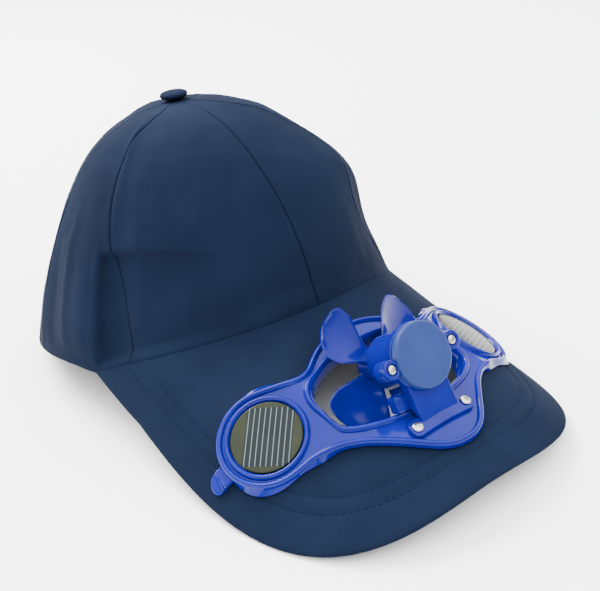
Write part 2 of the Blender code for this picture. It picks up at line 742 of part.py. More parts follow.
def lobe_place(side):
    middle, centre, across, along, normal = LOBES[side]

    def place(x, y, height):
        x, y, height = np.broadcast_arrays(*[np.asarray(v, float) for v in (x, y, height)])
        return (centre + x[..., None] * across + y[..., None] * along
                + (height[..., None] - LOBE_SINK) * normal)
    return place


def cell_body(side):
    bottom = CELL_SEAT + CLEARANCE
    top = bottom + CELL_THICKNESS
    return turned(((0, bottom), (CELL_RADIUS, bottom), (CELL_RADIUS, top - 0.3),
                   (CELL_RADIUS - 0.4, top), (0, top)), 28, lobe_place(side))


def base_place(side):
    # Upright on the base plate, over a screw.
    place = np.array([side * BASE_SCREW_ACROSS, BASE_ALONG])
    centre = on_peak(place, 0.0)
    normal = peak_normal(place[0], place[1])
    across = np.cross(np.array([0.0, 1.0, 0.0]), normal)
    across /= np.linalg.norm(across)
    along = np.cross(normal, across)

    def put(x, y, height):
        x, y, height = np.broadcast_arrays(*[np.asarray(v, float) for v in (x, y, height)])
        return centre + x[..., None] * across + y[..., None] * along + height[..., None] * normal
    return put


def base_body():
    half = BASE_SCREW_ACROSS + BASE_CORNER
    corner = min(BASE_CORNER, BASE_HALF_DEPTH) * 0.98
    loop = []
    for cx, cq, start in ((half - corner, BASE_HALF_DEPTH - corner, 0),
                          (-half + corner, BASE_HALF_DEPTH - corner, 90),
                          (-half + corner, -BASE_HALF_DEPTH + corner, 180),
                          (half - corner, -BASE_HALF_DEPTH + corner, 270)):
        for a in np.linspace(start, start + 90, 6):
            loop.append((cx + corner * math.cos(math.radians(a)),
                         BASE_ALONG + cq + corner * math.sin(math.radians(a))))
    loop = counter_clockwise(resample(np.array(loop), 44, True))
    body = Body()
    rings = edge_rings(body, ((offset_loop(loop, -0.4), on_peak, BASE_TOP), (loop, on_peak, BASE_TOP - 0.4),
                              (loop, on_peak, BASE_BOTTOM)))
    body.cap([offset_loop(loop, -0.4)], [rings[0]], 4.0, lambda p: on_peak(p, BASE_TOP))
    body.cap([loop], [rings[-1]], 4.0, lambda p: on_peak(p, BASE_BOTTOM))
    return body


def box_body(corners):
    # corners: four lower points, then four upper points, both in the same order.
    body = Body()
    low = body.add(corners[:4])
    high = body.add(corners[4:])
    body.bridge(low, high)
    body.faces.append(tuple(low))
    body.faces.append(tuple(high))
    return body


def arm_body():
    # From inside the base plate up into the housing's underside.
    foot = (BASE_BOTTOM + BASE_TOP) / 2
    low = []
    high = []
    for across, ahead in ((-1, 0), (1, 0), (1, 1), (-1, 1)):
        s = across * ARM_HALF_WIDTH
        q = BASE_ALONG + 0.8 - ahead * ARM_DEPTH
        low.append(on_peak(np.array([s, q]), foot))
        high.append(on_axis(s, -HOUSING_RADIUS * 0.45, COVER_THICKNESS + CLEARANCE + 1.0 + ahead * ARM_DEPTH))
    return box_body(np.array(low + high))


def housing_body():
    return turned(((0, HOUSING_FRONT), (HOUSING_RADIUS + 1.6, HOUSING_FRONT),
                   (HOUSING_RADIUS + 1.6, HOUSING_FRONT + 2.0), (HOUSING_RADIUS, HOUSING_FRONT + 3.4),
                   (HOUSING_RADIUS - 0.6, HOUSING_BACK - 2.0), (HOUSING_RADIUS - 2.2, HOUSING_BACK),
                   (0, HOUSING_BACK)), 32, on_axis)


def blade_body(turn_deg):
    turn = math.radians(turn_deg)
    middle = ROTOR_FRONT + BLADE_BACK
    share = np.linspace(-1, 1, 8)
    bow = (1 - share ** 2)
    body = Body()
    rings = []
    for radius_share, chord_share, pitch_deg in BLADE_SECTIONS:
        radius = radius_share * ROTOR_RADIUS
        chord = chord_share * BLADE_WIDTH
        pitch = -math.radians(pitch_deg)
        thin = BLADE_THICKNESS / 2 * np.sqrt(np.maximum(1 - share ** 2, 0)) + 0.12
        lift = BLADE_CAMBER * chord * (bow - 0.6)
        ahead = share * chord / 2
        upper = np.stack([ahead, lift + thin], -1)
        lower = np.stack([ahead, lift - thin], -1)[::-1]
        section = np.concatenate([upper, lower])
        around = section[:, 0] * math.cos(pitch) - section[:, 1] * math.sin(pitch)
        back = section[:, 0] * math.sin(pitch) + section[:, 1] * math.cos(pitch)
        x = radius * math.cos(turn) - around * math.sin(turn)
        y = radius * math.sin(turn) + around * math.cos(turn)
        rings.append(body.add(on_axis(x, y, middle + back)))
    for one, two in zip(rings, rings[1:]):
        body.bridge(one, two)
    body.faces.append(tuple(rings[0]))
    body.faces.append(tuple(rings[-1]))
    return body


def hub_body():
    back = ROTOR_FRONT + HUB_LENGTH
    return turned(((0, ROTOR_FRONT - SHAFT_LENGTH), (SHAFT_RADIUS, ROTOR_FRONT - SHAFT_LENGTH),
                   (SHAFT_RADIUS, ROTOR_FRONT), (HUB_RADIUS - 0.5, ROTOR_FRONT), (HUB_RADIUS, ROTOR_FRONT + 0.5),
                   (HUB_RADIUS, back - HUB_ROUND), (HUB_RADIUS - HUB_ROUND * 0.3, back - HUB_ROUND * 0.3),
                   (HUB_RADIUS - HUB_ROUND, back), (0, back)), 24, on_axis)


def button_body():
    def place(x, y, height):
        x, y, height = np.broadcast_arrays(*[np.asarray(v, float) for v in (x, y, height)])
        return np.stack([x - APEX_ASIDE, y - APEX_FORWARD, CROWN_HEIGHT + height], -1)
    profile = [(0, CLEARANCE), (BUTTON_RADIUS * 0.78, CLEARANCE)]
    for a in np.linspace(-22, 78, 6):
        profile.append((BUTTON_RADIUS * math.cos(math.radians(a)),
                        CLEARANCE + BUTTON_HEIGHT * (0.36 + 0.64 * math.sin(math.radians(a)))))
    profile.append((0, CLEARANCE + BUTTON_HEIGHT))
    return turned(profile, 24, place)


def screw_body(place, seat, up, radius):
    # seat: where the head sits; up: +1 or -1, the way out along place's third value.
    head = seat + up * CLEARANCE
    end = seat - up * SCREW_DEPTH
    return turned(((0, end), (SCREW_SHANK_RADIUS, end), (SCREW_SHANK_RADIUS, head),
                   (radius, head), (radius, head + up * SCREW_HEAD_HEIGHT * 0.5),
                   (radius * 0.7, head + up * SCREW_HEAD_HEIGHT), (0, head + up * SCREW_HEAD_HEIGHT)), 16, place)


def drill_body(place, seat, up, recess):
    # A hole for the shank, and one of the radius recess from the seat outwards.
    radius = SCREW_SHANK_RADIUS + CLEARANCE
    end = seat - up * (SCREW_DEPTH + 0.5)
    out = seat + up * (SCREW_HEAD_HEIGHT + 2.0)
    return turned(((0, end), (radius, end), (radius, seat), (recess, seat), (recess, out), (0, out)), 16, place)


# Looks for the solids
def material(name, colour, roughness):
    made = bpy.data.materials.new(name)
    made.use_nodes = True
    shader = made.node_tree.nodes["Principled BSDF"]
    shader.inputs["Base Color"].default_value = (*colour, 1.0)
    shader.inputs["Roughness"].default_value = roughness
    return made


NAVY = (0.017, 0.035, 0.095)
BLUE = (0.01, 0.03, 0.55)
COVER_BLUE = (0.08, 0.14, 0.50)
CELL_GREY = (0.10, 0.11, 0.09)
STEEL = (0.62, 0.62, 0.60)

pieces = []


def piece(name, body, colour, roughness, cutter=False):
    mesh = bpy.data.meshes.new(name)
    mesh.from_pydata([tuple(p) for p in body.all_points()], [], body.faces)
    shape = bmesh.new()
    shape.from_mesh(mesh)
    bmesh.ops.recalc_face_normals(shape, faces=shape.faces)
    shape.to_mesh(mesh)
    shape.free()
    made = bpy.data.objects.new(name, mesh)
    bpy.context.scene.collection.objects.link(made)
    if cutter:
        made.hide_render = True
        made.display_type = "WIRE"
    else:
        mesh.materials.append(material(name, colour, roughness))
    pieces.append(made)
    return made


def combine(target, tool, operation):
    step = target.modifiers.new(tool.name, "BOOLEAN")
    step.operation = operation
    step.solver = "EXACT"
    step.object = tool


crown = piece("crown", crown_body(), NAVY, 0.9)
peak = piece("peak", PEAK, NAVY, 0.9)
button = piece("crown_button", button_body(), NAVY, 0.9)
frame = piece("fan_frame", frame_body(), BLUE, 0.25)

bracket = piece("motor_bracket", base_body(), BLUE, 0.25)
combine(bracket, piece("bracket_arm_tool", arm_body(), BLUE, 0.25, True), "UNION")
combine(bracket, piece("bracket_housing_tool", housing_body(), BLUE, 0.25, True), "UNION")
cover = piece("motor_cover", turned(((0, 0), (COVER_RADIUS - 0.6, 0), (COVER_RADIUS, 0.6),
                                     (COVER_RADIUS, COVER_THICKNESS), (0, COVER_THICKNESS)), 40, on_axis),
              COVER_BLUE, 0.3)
for side, word in ((-1, "right"), (1, "left")):
    ear_place = beside_axis(side * EAR_ACROSS)
    combine(cover, piece("cover_ear_tool_" + word, turned(
        ((0, EAR_FRONT), (EAR_RADIUS - 0.4, EAR_FRONT), (EAR_RADIUS, EAR_FRONT + 0.4),
         (EAR_RADIUS, COVER_THICKNESS - EAR_STEP), (0, COVER_THICKNESS - EAR_STEP)), 24, ear_place),
        BLUE, 0.3, True), "UNION")
    seat = EAR_FRONT + EAR_RECESS
    combine(cover, piece("cover_drill_tool_" + word, drill_body(ear_place, seat, -1, EAR_RECESS_RADIUS),
                         BLUE, 0.3, True), "DIFFERENCE")
    combine(bracket, piece("housing_ear_tool_" + word, turned(
        ((0, HOUSING_FRONT + EAR_STEP), (EAR_RADIUS, HOUSING_FRONT + EAR_STEP),
         (EAR_RADIUS, HOUSING_FRONT + EAR_LENGTH - 1.5),
         (EAR_RADIUS - 1.5, HOUSING_FRONT + EAR_LENGTH), (0, HOUSING_FRONT + EAR_LENGTH)), 24, ear_place),
        BLUE, 0.3, True), "UNION")
    piece("cover_screw_" + word, screw_body(ear_place, seat, -1, COVER_SCREW_RADIUS), STEEL, 0.25)
    base_screw = base_place(side)
    shank_hole = SCREW_SHANK_RADIUS + CLEARANCE
    combine(bracket, piece("base_drill_tool_" + word, drill_body(base_screw, BASE_TOP, 1, shank_hole),
                           BLUE, 0.3, True), "DIFFERENCE")
    piece("base_screw_" + word, screw_body(base_screw, BASE_TOP, 1, BASE_SCREW_RADIUS), STEEL, 0.25)
    piece("solar_cell_" + word, cell_body(side), CELL_GREY, 0.15)

bore = piece("shaft_bore_tool", turned(
    ((0, HOUSING_BACK - SHAFT_LENGTH), (SHAFT_RADIUS + SHAFT_RUNNING, HOUSING_BACK - SHAFT_LENGTH),
     (SHAFT_RADIUS + SHAFT_RUNNING, HOUSING_BACK + 2.0), (0, HOUSING_BACK + 2.0)), 16, on_axis), BLUE, 0.3, True)
combine(bracket, bore, "DIFFERENCE")

rotor = piece("fan_rotor", hub_body(), BLUE, 0.25)
for number in range(BLADE_COUNT):
    turn_deg = BLADE_PHASE_DEG + number * 360.0 / BLADE_COUNT
    blade = piece("blade_tool_%d" % (number + 1), blade_body(turn_deg), BLUE, 0.25, True)
    combine(rotor, blade, "UNION")

# Onto the floor, with the box under the hat centred
cosine, sine = math.cos(REST_TILT), math.sin(REST_TILT)


def tipped(points):
    y = points[:, 1] - HEAD_HALF_LENGTH
    return np.stack([points[:, 0], HEAD_HALF_LENGTH + cosine * y + sine * points[:, 2],
                     -sine * y + cosine * points[:, 2]], -1)


everything = []
for made in pieces:
    points = np.array([tuple(v.co) for v in made.data.vertices])
    points = tipped(points)
    made.data.vertices.foreach_set("co", points.ravel())
    if not made.hide_render:
        everything.append(points)
everything = np.concatenate(everything)
low, high = everything.min(axis=0), everything.max(axis=0)
shift = np.array([-(low[0] + high[0]) / 2, -(low[1] + high[1]) / 2, -low[2]])
for made in pieces:
    points = np.empty(len(made.data.vertices) * 3)
    made.data.vertices.foreach_get("co", points)
    points = (points.reshape(-1, 3) + shift) * MM
    made.data.vertices.foreach_set("co", points.ravel())
    made.data.update()


def in_world(point):
    return (tipped(np.asarray(point, float)[None])[0] + shift) * MM


print("rest tilt", round(math.degrees(REST_TILT), 3), "shift", shift.round(3))
print("axis point", in_world(on_axis(0, 0, ROTOR_FRONT)).round(6), "axis",
      ((in_world(on_axis(0, 0, 0)) - in_world(on_axis(0, 0, 10))) * 100).round(6))
print("box", (low + shift).round(2), (high + shift).round(2))
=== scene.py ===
import math

import bmesh
import bpy
import numpy as np
from mathutils import Matrix, Vector, noise
from mathutils.geometry import delaunay_2d_cdt


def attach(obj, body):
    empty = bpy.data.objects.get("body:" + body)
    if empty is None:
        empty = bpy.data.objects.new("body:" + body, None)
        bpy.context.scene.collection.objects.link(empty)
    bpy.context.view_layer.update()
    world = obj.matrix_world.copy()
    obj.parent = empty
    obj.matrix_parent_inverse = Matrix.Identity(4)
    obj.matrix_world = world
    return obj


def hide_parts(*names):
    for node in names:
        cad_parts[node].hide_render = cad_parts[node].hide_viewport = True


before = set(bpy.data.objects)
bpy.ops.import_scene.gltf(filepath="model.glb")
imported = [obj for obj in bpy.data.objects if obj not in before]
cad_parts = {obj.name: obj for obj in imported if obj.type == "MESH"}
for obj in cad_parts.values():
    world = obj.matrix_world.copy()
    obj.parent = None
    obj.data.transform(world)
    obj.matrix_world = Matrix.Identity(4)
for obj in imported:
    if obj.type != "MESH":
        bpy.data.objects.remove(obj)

scene = bpy.context.scene
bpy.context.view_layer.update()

# Camera: the photo's angle, from the hat's front right and a little above.
CAMERA_BACK = Vector((-0.52883, -0.71897, 0.45103))
CAMERA_RIGHT = Vector((0.78021, -0.62100, -0.07512))
CAMERA_PLACE = Vector((-0.22493, -0.33700, 0.24230))
camera_data = bpy.data.cameras.new("camera")
camera_data.sensor_width = 36.0
camera_data.lens = 57.73
camera_data.clip_start = 0.01
camera_data.clip_end = 20.0
camera = bpy.data.objects.new("camera", camera_data)
scene.collection.objects.link(camera)
CAMERA_UP = CAMERA_BACK.cross(CAMERA_RIGHT)
camera_turn = Matrix((CAMERA_RIGHT, CAMERA_UP, CAMERA_BACK)).transposed().to_4x4()
camera.matrix_world = Matrix.Translation(CAMERA_PLACE) @ camera_turn
scene.camera = camera

# Floor and light: a pale floor, a sky that is brighter overhead, and two soft lights,
# the stronger one from behind.
FLOOR_HALF = 3.0
FLOOR_WHITE = 0.9
SKY_STRENGTH = 6.4
SKY_LOW_SHARE = 0.12
KEY_POWER = 60.0
KEY_SIZE = 0.8
KEY_PLACE = Vector((-0.15, 0.95, 1.05))
FILL_POWER = 1.5
FILL_SIZE = 0.35
FILL_PLACE = Vector((0.35, -0.75, 0.75))
floor_mesh = bpy.data.meshes.new("floor")
floor_mesh.from_pydata([(-FLOOR_HALF, -FLOOR_HALF, 0), (FLOOR_HALF, -FLOOR_HALF, 0),
                        (FLOOR_HALF, FLOOR_HALF, 0), (-FLOOR_HALF, FLOOR_HALF, 0)], [], [(0, 1, 2, 3)])
floor = bpy.data.objects.new("floor", floor_mesh)
scene.collection.objects.link(floor)
white = bpy.data.materials.new("white_floor")
white.use_nodes = True
white.node_tree.nodes["Principled BSDF"].inputs["Base Color"].default_value = (FLOOR_WHITE,) * 3 + (1.0,)
white.node_tree.nodes["Principled BSDF"].inputs["Roughness"].default_value = 0.9
floor_mesh.materials.append(white)
world = bpy.data.worlds.new("world")
world.use_nodes = True
background = world.node_tree.nodes["Background"]
background.inputs["Color"].default_value = (1, 1, 1, 1)
direction = world.node_tree.nodes.new("ShaderNodeTexCoord")
height = world.node_tree.nodes.new("ShaderNodeSeparateXYZ")
brightness = world.node_tree.nodes.new("ShaderNodeMapRange")
brightness.interpolation_type = "SMOOTHSTEP"
brightness.inputs["To Min"].default_value = SKY_STRENGTH * SKY_LOW_SHARE
brightness.inputs["To Max"].default_value = SKY_STRENGTH
world.node_tree.links.new(direction.outputs["Generated"], height.inputs["Vector"])
world.node_tree.links.new(height.outputs["Z"], brightness.inputs["Value"])
world.node_tree.links.new(brightness.outputs["Result"], background.inputs["Strength"])
scene.world = world
for name, power, size, place in (("key", KEY_POWER, KEY_SIZE, KEY_PLACE),
                                 ("fill", FILL_POWER, FILL_SIZE, FILL_PLACE)):
    light_data = bpy.data.lights.new(name, "AREA")
    light_data.energy = power
    light_data.size = size
    light = bpy.data.objects.new(name, light_data)
    scene.collection.objects.link(light)
    light.location = place
    light.rotation_mode = "QUATERNION"
    light.rotation_quaternion = place.to_track_quat("Z", "Y")

# Sizes shared with the solids, in millimetres in the hat's own frame: the peak points
# to -Y, +X is the wearer's left, Z is up and the rear rim is at z = 0.
REST_TILT = math.radians(4.812)
SHIFT = np.array([-0.118, 48.595, 0.0])
MM = 0.001
CLEARANCE = 0.3

# Crown
HEAD_HALF_LENGTH = 97.0
HEAD_HALF_WIDTH = 84.7
CROWN_HEIGHT = 117.0
CROWN_WALL = 2.0
APEX_FORWARD = 5.9
APEX_ASIDE = 1.3
SIDE_RIM_DIP = 2.7
REAR_FLAT_DEG = 18.0
REAR_BLEND_DEG = 14.0
RIM_HEM = 0.8
RIM_SWELL = 0.055
RIM_SWELL_AT_DEG = 52.0
RIM_SWELL_HALF_DEG = 22.0
RIM_SWELL_ROWS = 0.35
BUTTON_RADIUS = 6.7
BUTTON_HEIGHT = 3.9

# Peak
PEAK_REACH = 107.4
PEAK_SIDE_TUCK = 2.2
PEAK_SLOPE = 0.45
PEAK_ROOT_HEIGHT = 34.8
PEAK_ARCH_MARGIN = 17.3
PEAK_FRONT_RADIUS = 128.6
PEAK_SQUARENESS = 2.74
PEAK_WIDEST_BACK = 30.5
PEAK_THICKNESS = 2.6
PEAK_EDGE_ROUND = 0.9
PEAK_END_THICKNESS = 0.9
PEAK_END_TAPER = 26.0
ROOT_END_DEG = 71.0
ROOT_COVER = 0.6

# Fan frame
FRAME_REAR = 16.0
REAR_BAND = 11.6
FRONT_DECK = 23.8
REAR_ARC_RADIUS = 47.8
NOTCH_ACROSS = 31.0
NOSE_ASIDE = 1.5
WAIST_GAP = 0.9
CELL_SETBACK = 17.4
LOBE_FLAT = 0.6
LOBE_BLEND = 12.0
LOBE_SINK = 0.6
TAB_REACH = 10.2
TAB_HALF_WIDTH = 4.2
TAB_BACK_DEG = 16.0
DECK_HEIGHT = 2.1
BEAD_WIDTH = 3.0
BEAD_RISE = 1.5
OPENING_HALF_WIDTH = 36.4
OPENING_HALF_DEPTH = 19.5
OPENING_FRONT_POWER = 1.9
OPENING_REAR_POWER = 2.7
COLLAR_WALL = 1.5
COLLAR_DEPTH = 5.5
OUTLINE_SMOOTHING = 10 / 92 ** 2

# Solar cells
CELL_RADIUS = 14.8
CELL_THICKNESS = 1.2
CELL_SEAT = 1.5
CELL_RIM_WIDTH = 2.6
CELL_RIM_TOP = 3.9

# Motor, bracket and cover
FAN_TILT_DEG = 26.0
COVER_AHEAD = 20.9
COVER_ABOVE = 15.6
COVER_RADIUS = 13.3
COVER_THICKNESS = 3.4
HOUSING_RADIUS = 12.0
HOUSING_LENGTH = 21.0
EAR_RADIUS = 3.9
EAR_LENGTH = 6.0
EAR_FRONT = 1.2
EAR_RECESS = 0.9
EAR_STEP = 0.15
BASE_SETBACK = 2.0
BASE_HALF_DEPTH = 3.8
BASE_THICKNESS = 1.8
BASE_SCREW_ACROSS = 12.7
BASE_CORNER = 3.0
ARM_HALF_WIDTH = 9.6
ARM_DEPTH = 6.0

# Screws
BASE_SCREW_RADIUS = 2.2
COVER_SCREW_RADIUS = 1.8
SCREW_HEAD_HEIGHT = 1.0
SCREW_SHANK_RADIUS = 1.1
SCREW_DEPTH = 0.9

# Rotor
ROTOR_RADIUS = 30.0
HUB_RADIUS = 8.0
HUB_LENGTH = 12.0
HUB_ROUND = 3.0
HUB_GAP = 0.8
SHAFT_RADIUS = 1.0
SHAFT_LENGTH = 4.0
BLADE_COUNT = 4
BLADE_BACK = 6.2
BLADE_WIDTH = 26.0
BLADE_THICKNESS = 1.2
BLADE_CAMBER = 0.09
BLADE_PHASE_DEG = 38.0

# What follows from those sizes
PEAK_ROOT_RADIUS = HEAD_HALF_WIDTH + PEAK_ARCH_MARGIN
FRAME_DEPTH = REAR_BAND + 2 * OPENING_HALF_DEPTH + FRONT_DECK
OPENING_ALONG = FRAME_REAR + REAR_BAND + OPENING_HALF_DEPTH
POCKET_RADIUS = CELL_RADIUS + CLEARANCE
CELL_ACROSS = OPENING_HALF_WIDTH + BEAD_WIDTH + WAIST_GAP + POCKET_RADIUS + CELL_RIM_WIDTH
CELL_ALONG = FRAME_REAR + CELL_SETBACK
LOBE_RADIUS = POCKET_RADIUS + CELL_RIM_WIDTH + LOBE_FLAT + BEAD_WIDTH
BASE_ALONG = OPENING_ALONG + OPENING_HALF_DEPTH + BEAD_WIDTH + BASE_SETBACK + BASE_HALF_DEPTH
EAR_RECESS_RADIUS = COVER_SCREW_RADIUS + 2 * CLEARANCE
EAR_ACROSS = COVER_RADIUS + EAR_RECESS_RADIUS + CLEARANCE
HOUSING_FRONT = COVER_THICKNESS + CLEARANCE
HOUSING_BACK = HOUSING_FRONT + HOUSING_LENGTH
ROTOR_FRONT = HOUSING_BACK + HUB_GAP
BASE_BOTTOM = DECK_HEIGHT + CLEARANCE
BASE_TOP = BASE_BOTTOM + BASE_THICKNESS

# Crown sections from rim to top: height as a share of CROWN_HEIGHT, and how far the
# cloth stands out to the front, back, right and left as shares of the head's sizes.
CROWN_SECTIONS = (
    # height, front, back, right, left
    (0.000, 1.000, 1.000, 1.000, 1.000),
    (0.150, 0.968, 0.950, 0.957, 0.965),
    (0.320, 0.905, 0.880, 0.889, 0.905),
    (0.500, 0.811, 0.780, 0.798, 0.815),
    (0.670, 0.686, 0.655, 0.687, 0.700),
    (0.820, 0.539, 0.520, 0.552, 0.560),
    (0.920, 0.377, 0.370, 0.418, 0.418),
    (0.975, 0.221, 0.230, 0.253, 0.250),
    (1.000, 0.000, 0.000, 0.000, 0.000),
)

# Folds and dents of the cloth: where round the crown (degrees from the front, the
# wearer's left positive), how high as a share of the rows, how wide and tall, and how
# deep as a share of HEAD_HALF_WIDTH (out is positive).
CROWN_FOLDS = (
    # around, row, half_width, half_height, depth
    (-76.0, 0.18, 7.0, 0.26, 0.020),
    (-65.0, 0.16, 6.0, 0.24, -0.036),
    (-50.0, 0.27, 14.0, 0.08, -0.018),
    (-12.0, 0.10, 14.0, 0.10, -0.028),
    (-98.0, 0.30, 7.0, 0.30, 0.010),
    (54.0, 0.45, 30.0, 0.17, 0.142),
    (60.0, 0.76, 36.0, 0.13, 0.034),
    (62.0, 0.44, 8.0, 0.12, -0.016),
    (40.0, 0.14, 12.0, 0.12, 0.012),
    (126.0, 0.47, 28.0, 0.32, -0.060),
    (-126.0, 0.45, 28.0, 0.30, -0.040),
    (-130.0, 0.82, 40.0, 0.13, -0.072),
)

# Waist and nose of the frame: across as a share of CELL_ACROSS, along as a share of
# FRAME_DEPTH in front of FRAME_REAR.
NOSE_POINTS = (
    # across, along
    (0.951, 0.536),
    (0.823, 0.582),
    (0.685, 0.605),
    (0.537, 0.688),
    (0.380, 0.810),
    (0.284, 0.891),
    (0.191, 0.957),
    (0.087, 0.995),
)

# Blade sections: distance from the axis as a share of ROTOR_RADIUS, chord as a share
# of BLADE_WIDTH, and pitch in degrees, with the edge that follows the turn in front.
BLADE_SECTIONS = (
    # radius, chord, pitch
    (0.14, 0.30, 34.0),
    (0.30, 0.45, 28.0),
    (0.48, 0.74, 22.0),
    (0.66, 0.97, 19.0),
    (0.80, 1.00, 18.0),
    (0.90, 0.80, 17.0),
    (0.96, 0.52, 16.0),
    (0.99, 0.22, 16.0),
)


def smooth_table(where, knots, values):
    # A curve through the rows of a table that never swings past them.
    knots = np.asarray(knots, float)
    values = np.asarray(values, float)
    steps = np.diff(knots)
    slopes = np.diff(values) / steps
    tangents = np.zeros(len(knots))
    tangents[0] = slopes[0]
    tangents[-1] = slopes[-1]
    for i in range(1, len(knots) - 1):
        if slopes[i - 1] * slopes[i] > 0:
            wide = 2 * steps[i] + steps[i - 1]
            narrow = steps[i] + 2 * steps[i - 1]
            tangents[i] = (wide + narrow) / (wide / slopes[i - 1] + narrow / slopes[i])
    where = np.asarray(where, float)
    cell = np.clip(np.searchsorted(knots, where, side="right") - 1, 0, len(knots) - 2)
    t = (where - knots[cell]) / steps[cell]
    return (values[cell] * (1 + 2 * t) * (1 - t) ** 2
            + tangents[cell] * steps[cell] * t * (1 - t) ** 2
            + values[cell + 1] * t * t * (3 - 2 * t)
            - tangents[cell + 1] * steps[cell] * t * t * (1 - t))


def smoothstep(t):
    t = np.clip(t, 0.0, 1.0)
    return t * t * (3 - 2 * t)


# The peak's top surface. A place on it is (s, q): s is the distance across, along the
# arch, and q the distance forward of the crown's front, down the slope.
SLOPE_STRETCH = math.hypot(1.0, PEAK_SLOPE)
ROOT_END = math.radians(ROOT_END_DEG)


def arch_radius(q):
    share = np.clip(q / PEAK_REACH, -0.7, 1.0)
    return 1.0 / ((1 - share) / PEAK_ROOT_RADIUS + share / PEAK_FRONT_RADIUS)


def peak_surface(s, q):
    radius = arch_radius(q)
    turn = s / radius
    forward = q / SLOPE_STRETCH
    return np.stack([radius * np.sin(turn),
                     -HEAD_HALF_LENGTH - forward,
                     PEAK_ROOT_HEIGHT - PEAK_SLOPE * forward - radius * (1 - np.cos(turn))], -1)


def peak_normal(s, q):
    small = 0.05
    across = peak_surface(s + small, q) - peak_surface(s - small, q)
    along = peak_surface(s, q + small) - peak_surface(s, q - small)
    normal = np.cross(along, across)
    return normal / np.linalg.norm(normal, axis=-1, keepdims=True)


def on_peak(points, height):
    points = np.asarray(points, float)
    s, q = points[..., 0], points[..., 1]
    return peak_surface(s, q) + peak_normal(s, q) * height


def peak_height_at(x, y):
    forward = -y - HEAD_HALF_LENGTH
    radius = arch_radius(forward * SLOPE_STRETCH)
    drop = radius * (1 - np.sqrt(np.maximum(1 - (x / radius) ** 2, 1e-4)))
    return PEAK_ROOT_HEIGHT - PEAK_SLOPE * forward - drop


def rim_swell(turn):
    # The rim stands out where the cloth is pushed aside, over the peak's left root.
    off = np.degrees(turn) - RIM_SWELL_AT_DEG
    return RIM_SWELL * np.exp(-(off / RIM_SWELL_HALF_DEG) ** 2)


# Outlines in (s, q)
def root_line(count):
    # Just outside the crown, from the wearer's right to the left.
    turn = np.linspace(-ROOT_END, ROOT_END, count)
    x = (HEAD_HALF_WIDTH + CLEARANCE) * np.sin(turn) * (1 + rim_swell(turn))
    y = -(HEAD_HALF_LENGTH + CLEARANCE) * np.cos(turn) * (1 + rim_swell(turn))
    q = (-y - HEAD_HALF_LENGTH) * SLOPE_STRETCH
    radius = arch_radius(q)
    return np.stack([radius * np.arcsin(np.clip(x / radius, -0.99, 0.99)), q], -1)


PEAK_HALF_WIDTH = -root_line(2)[0][0] - PEAK_SIDE_TUCK


def outer_edge(root_end, count):
    # The wearer's left half, from the root's end to the middle of the front.
    side = np.linspace(0, 1, 7)[1:-1]
    rise_s = root_end[0] + (PEAK_HALF_WIDTH - root_end[0]) * side ** 2
    rise_q = root_end[1] + (-PEAK_WIDEST_BACK - root_end[1]) * side
    t = np.linspace(0, math.pi / 2, count)
    power = 2 / PEAK_SQUARENESS
    s = PEAK_HALF_WIDTH * np.cos(t) ** power
    q = -PEAK_WIDEST_BACK + (PEAK_REACH + PEAK_WIDEST_BACK) * np.sin(t) ** power
    return np.concatenate([np.stack([rise_s, rise_q], -1), np.stack([s, q], -1)])


def resample(points, count, closed):
    points = np.asarray(points, float)
    if closed:
        points = np.concatenate([points, points[:1]])
    steps = np.hypot(*np.diff(points, axis=0).T)
    run = np.concatenate([[0], np.cumsum(steps)])
    where = np.linspace(0, run[-1], count + 1 if closed else count)
    if closed:
        where = where[:-1]
    return np.stack([np.interp(where, run, points[:, i]) for i in (0, 1)], -1)


def offset_loop(loop, distance):
    # Moves a counter-clockwise loop outwards.
    ahead = np.roll(loop, -1, axis=0) - np.roll(loop, 1, axis=0)
    ahead = ahead / np.linalg.norm(ahead, axis=1, keepdims=True)
    return loop + np.stack([ahead[:, 1], -ahead[:, 0]], -1) * distance


def counter_clockwise(loop):
    x, y = loop[:, 0], loop[:, 1]
    area = np.sum(x * np.roll(y, -1) - np.roll(x, -1) * y)
    return loop if area > 0 else loop[::-1].copy()


def opening_loop(count):
    t = np.linspace(0, 2 * math.pi, count, endpoint=False)
    power = np.where(np.sin(t) > 0, 2 / OPENING_FRONT_POWER, 2 / OPENING_REAR_POWER)
    s = OPENING_HALF_WIDTH * np.sign(np.cos(t)) * np.abs(np.cos(t)) ** power
    q = OPENING_ALONG + OPENING_HALF_DEPTH * np.sign(np.sin(t)) * np.abs(np.sin(t)) ** power
    return counter_clockwise(resample(np.stack([s, q], -1), count, True))


